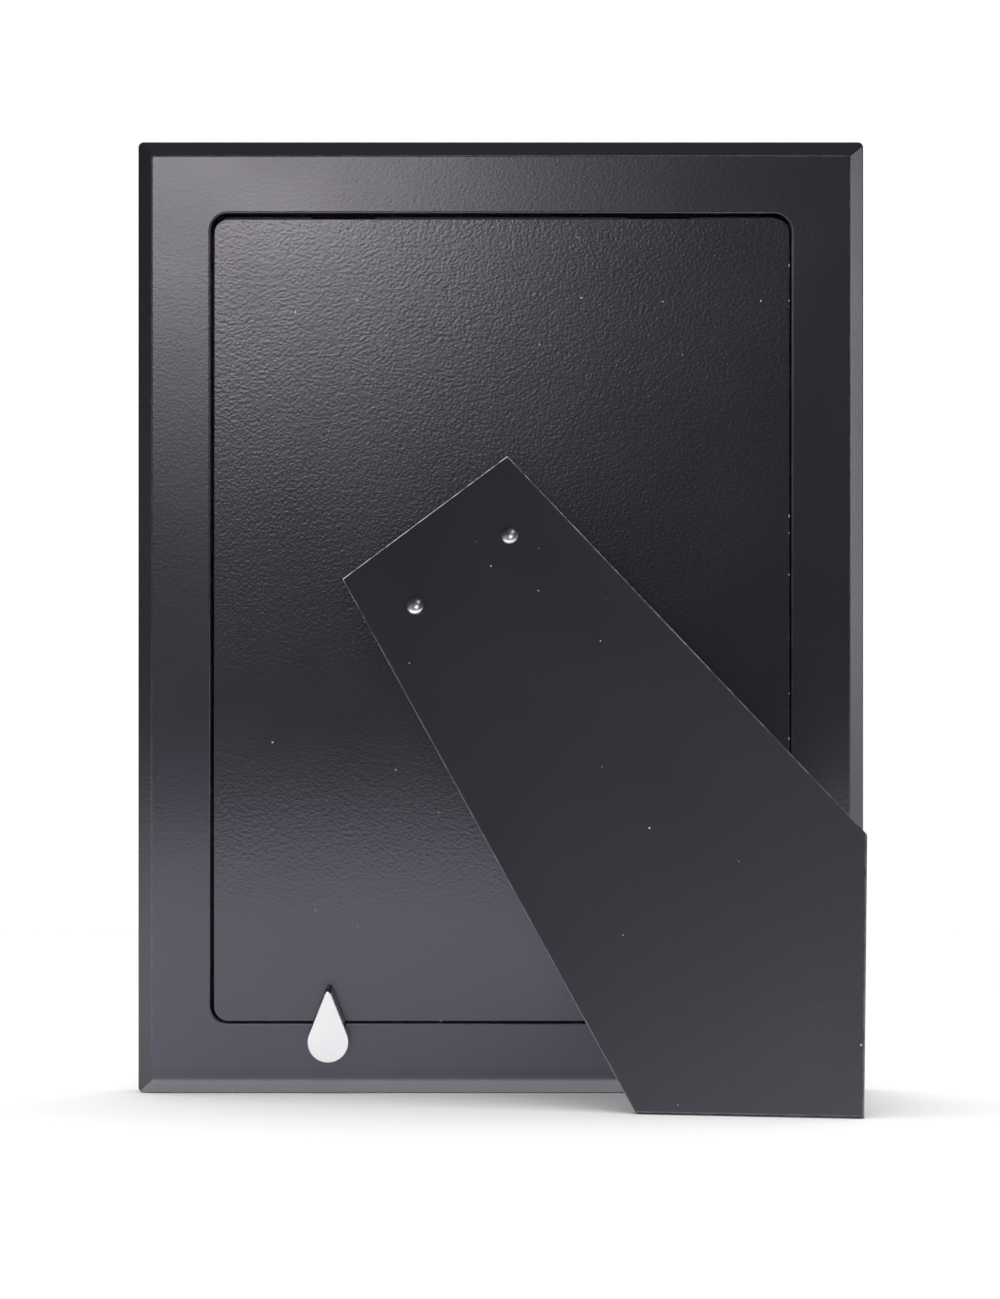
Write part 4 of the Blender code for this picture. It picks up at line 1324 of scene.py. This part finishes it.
class PHOTOFRAME_OT_studio(bpy.types.Operator):
    """Make the floor, the room, the lights and the camera"""

    bl_idname = "photoframe.make_studio"
    bl_label = "Studio"

    def execute(self, context):
        studio = context.scene.photo_frame.studio
        make_floor()
        make_room(studio.room_light, studio.backdrop_light, studio.fill_light)
        middle = BODY_PLACE @ Vector((0.0, 0.0, studio.eye_height - studio.picture_drop))
        spot = bearing(middle, studio.key_side, studio.key_rise, studio.key_distance)
        area_light("key_light", spot, middle, (studio.key_size * 1.5, studio.key_size),
                   studio.key_power, (1.0, 0.98, 0.96))
        spot = bearing(middle, studio.top_side, studio.top_rise, studio.strip_distance)
        area_light("top_strip", spot, middle, (0.3, 0.08), studio.top_power, WHITE,
                   glints_only=True)
        spot = bearing(middle, studio.edge_side, studio.edge_rise, studio.strip_distance)
        area_light("edge_strip", spot, middle, (0.08, 0.4), studio.edge_power, WHITE,
                   glints_only=True)
        bottom = BODY_PLACE.translation
        card = Vector((0.0, bottom.y + 0.0022, 0.1 * MM))
        area_light("under_card", card, card + Vector((0.0, 0.0, 1.0)), (0.16, 0.010),
                   studio.under_power, (1.0, 0.98, 1.0))
        card = Vector((0.0, bottom.y + 0.0975, 0.3 * MM))
        area_light("table_card", card, card + Vector((0.0, 0.0, 1.0)), (0.5, 0.175),
                   studio.table_power, (0.92, 0.89, 1.1), glints_only=True)
        front = area_light("front_fill", Vector((0.0, 0.9, 0.8)), Vector((0.0, 0.05, 0.0)),
                           (0.8, 0.8), studio.front_power, WHITE)
        front.visible_glossy = False
        make_dark_cloth(studio.flag_start)
        area_light("side_strip", middle + Vector((-0.9, 0.12, 0.0)), middle,
                   (0.25, 0.5), studio.side_power, (0.97, 0.97, 1.0))
        sun = bpy.data.lights.new("floor_light", "SUN")
        sun.energy = studio.floor_light
        sun.angle = math.radians(70)
        obj = bpy.data.objects.new("floor_light", sun)
        obj.visible_glossy = False
        context.scene.collection.objects.link(obj)
        camera = bpy.data.cameras.new("camera")
        camera.sensor_width = 36.0
        camera.lens = camera.sensor_width * studio.distance / studio.picture_height
        camera.shift_y = -studio.picture_drop / studio.picture_height
        camera.clip_start = 0.01
        eye = bpy.data.objects.new("camera", camera)
        eye.matrix_world = BODY_PLACE @ Matrix.Translation(
            (studio.eye_offset, studio.distance, studio.eye_height)) @ Matrix.Rotation(
            math.pi, 4, "Z") @ Matrix.Rotation(math.pi / 2, 4, "X")
        context.scene.collection.objects.link(eye)
        context.scene.camera = eye
        context.scene.view_settings.view_transform = "Standard"
        return {"FINISHED"}


# ---------------------------------------------------------------- add-on
MAKERS = (PHOTOFRAME_OT_studio, PHOTOFRAME_OT_body, PHOTOFRAME_OT_panel, PHOTOFRAME_OT_layers,
          PHOTOFRAME_OT_hinge, PHOTOFRAME_OT_rivets, PHOTOFRAME_OT_leg,
          PHOTOFRAME_OT_turn_button)
SETTINGS = (BodySizes, PanelSizes, HingeSizes, LegSizes, ButtonSizes, FinishSettings,
            StudioSettings, PhotoFrameSettings)


class PHOTOFRAME_PT_tools(bpy.types.Panel):
    """The settings and makers of the photo frame"""

    bl_idname = "PHOTOFRAME_PT_tools"
    bl_label = "Photo Frame"
    bl_space_type = "VIEW_3D"
    bl_region_type = "UI"
    bl_category = "Photo Frame"

    def draw(self, context):
        settings = context.scene.photo_frame
        for maker in MAKERS:
            self.layout.operator(maker.bl_idname)
        for name in settings.bl_rna.properties.keys():
            group = getattr(settings, name)
            if isinstance(group, bpy.types.PropertyGroup):
                box = self.layout.box()
                box.label(text=group.__doc__)
                for setting in group.bl_rna.properties.keys():
                    if setting not in {"rna_type", "name"}:
                        box.prop(group, setting)


def register():
    """Register every class and hang the settings on the scene."""
    for cls in (*SETTINGS, *MAKERS, PHOTOFRAME_PT_tools):
        bpy.utils.register_class(cls)
    bpy.types.Scene.photo_frame = PointerProperty(type=PhotoFrameSettings)


def unregister():
    """Undo register."""
    del bpy.types.Scene.photo_frame
    for cls in reversed((*SETTINGS, *MAKERS, PHOTOFRAME_PT_tools)):
        bpy.utils.unregister_class(cls)


def main():
    """Make every piece and the studio."""
    register()
    for maker in MAKERS:
        section, action = maker.bl_idname.split(".")
        getattr(getattr(bpy.ops, section), action)()


if __name__ == "__main__":
    main()
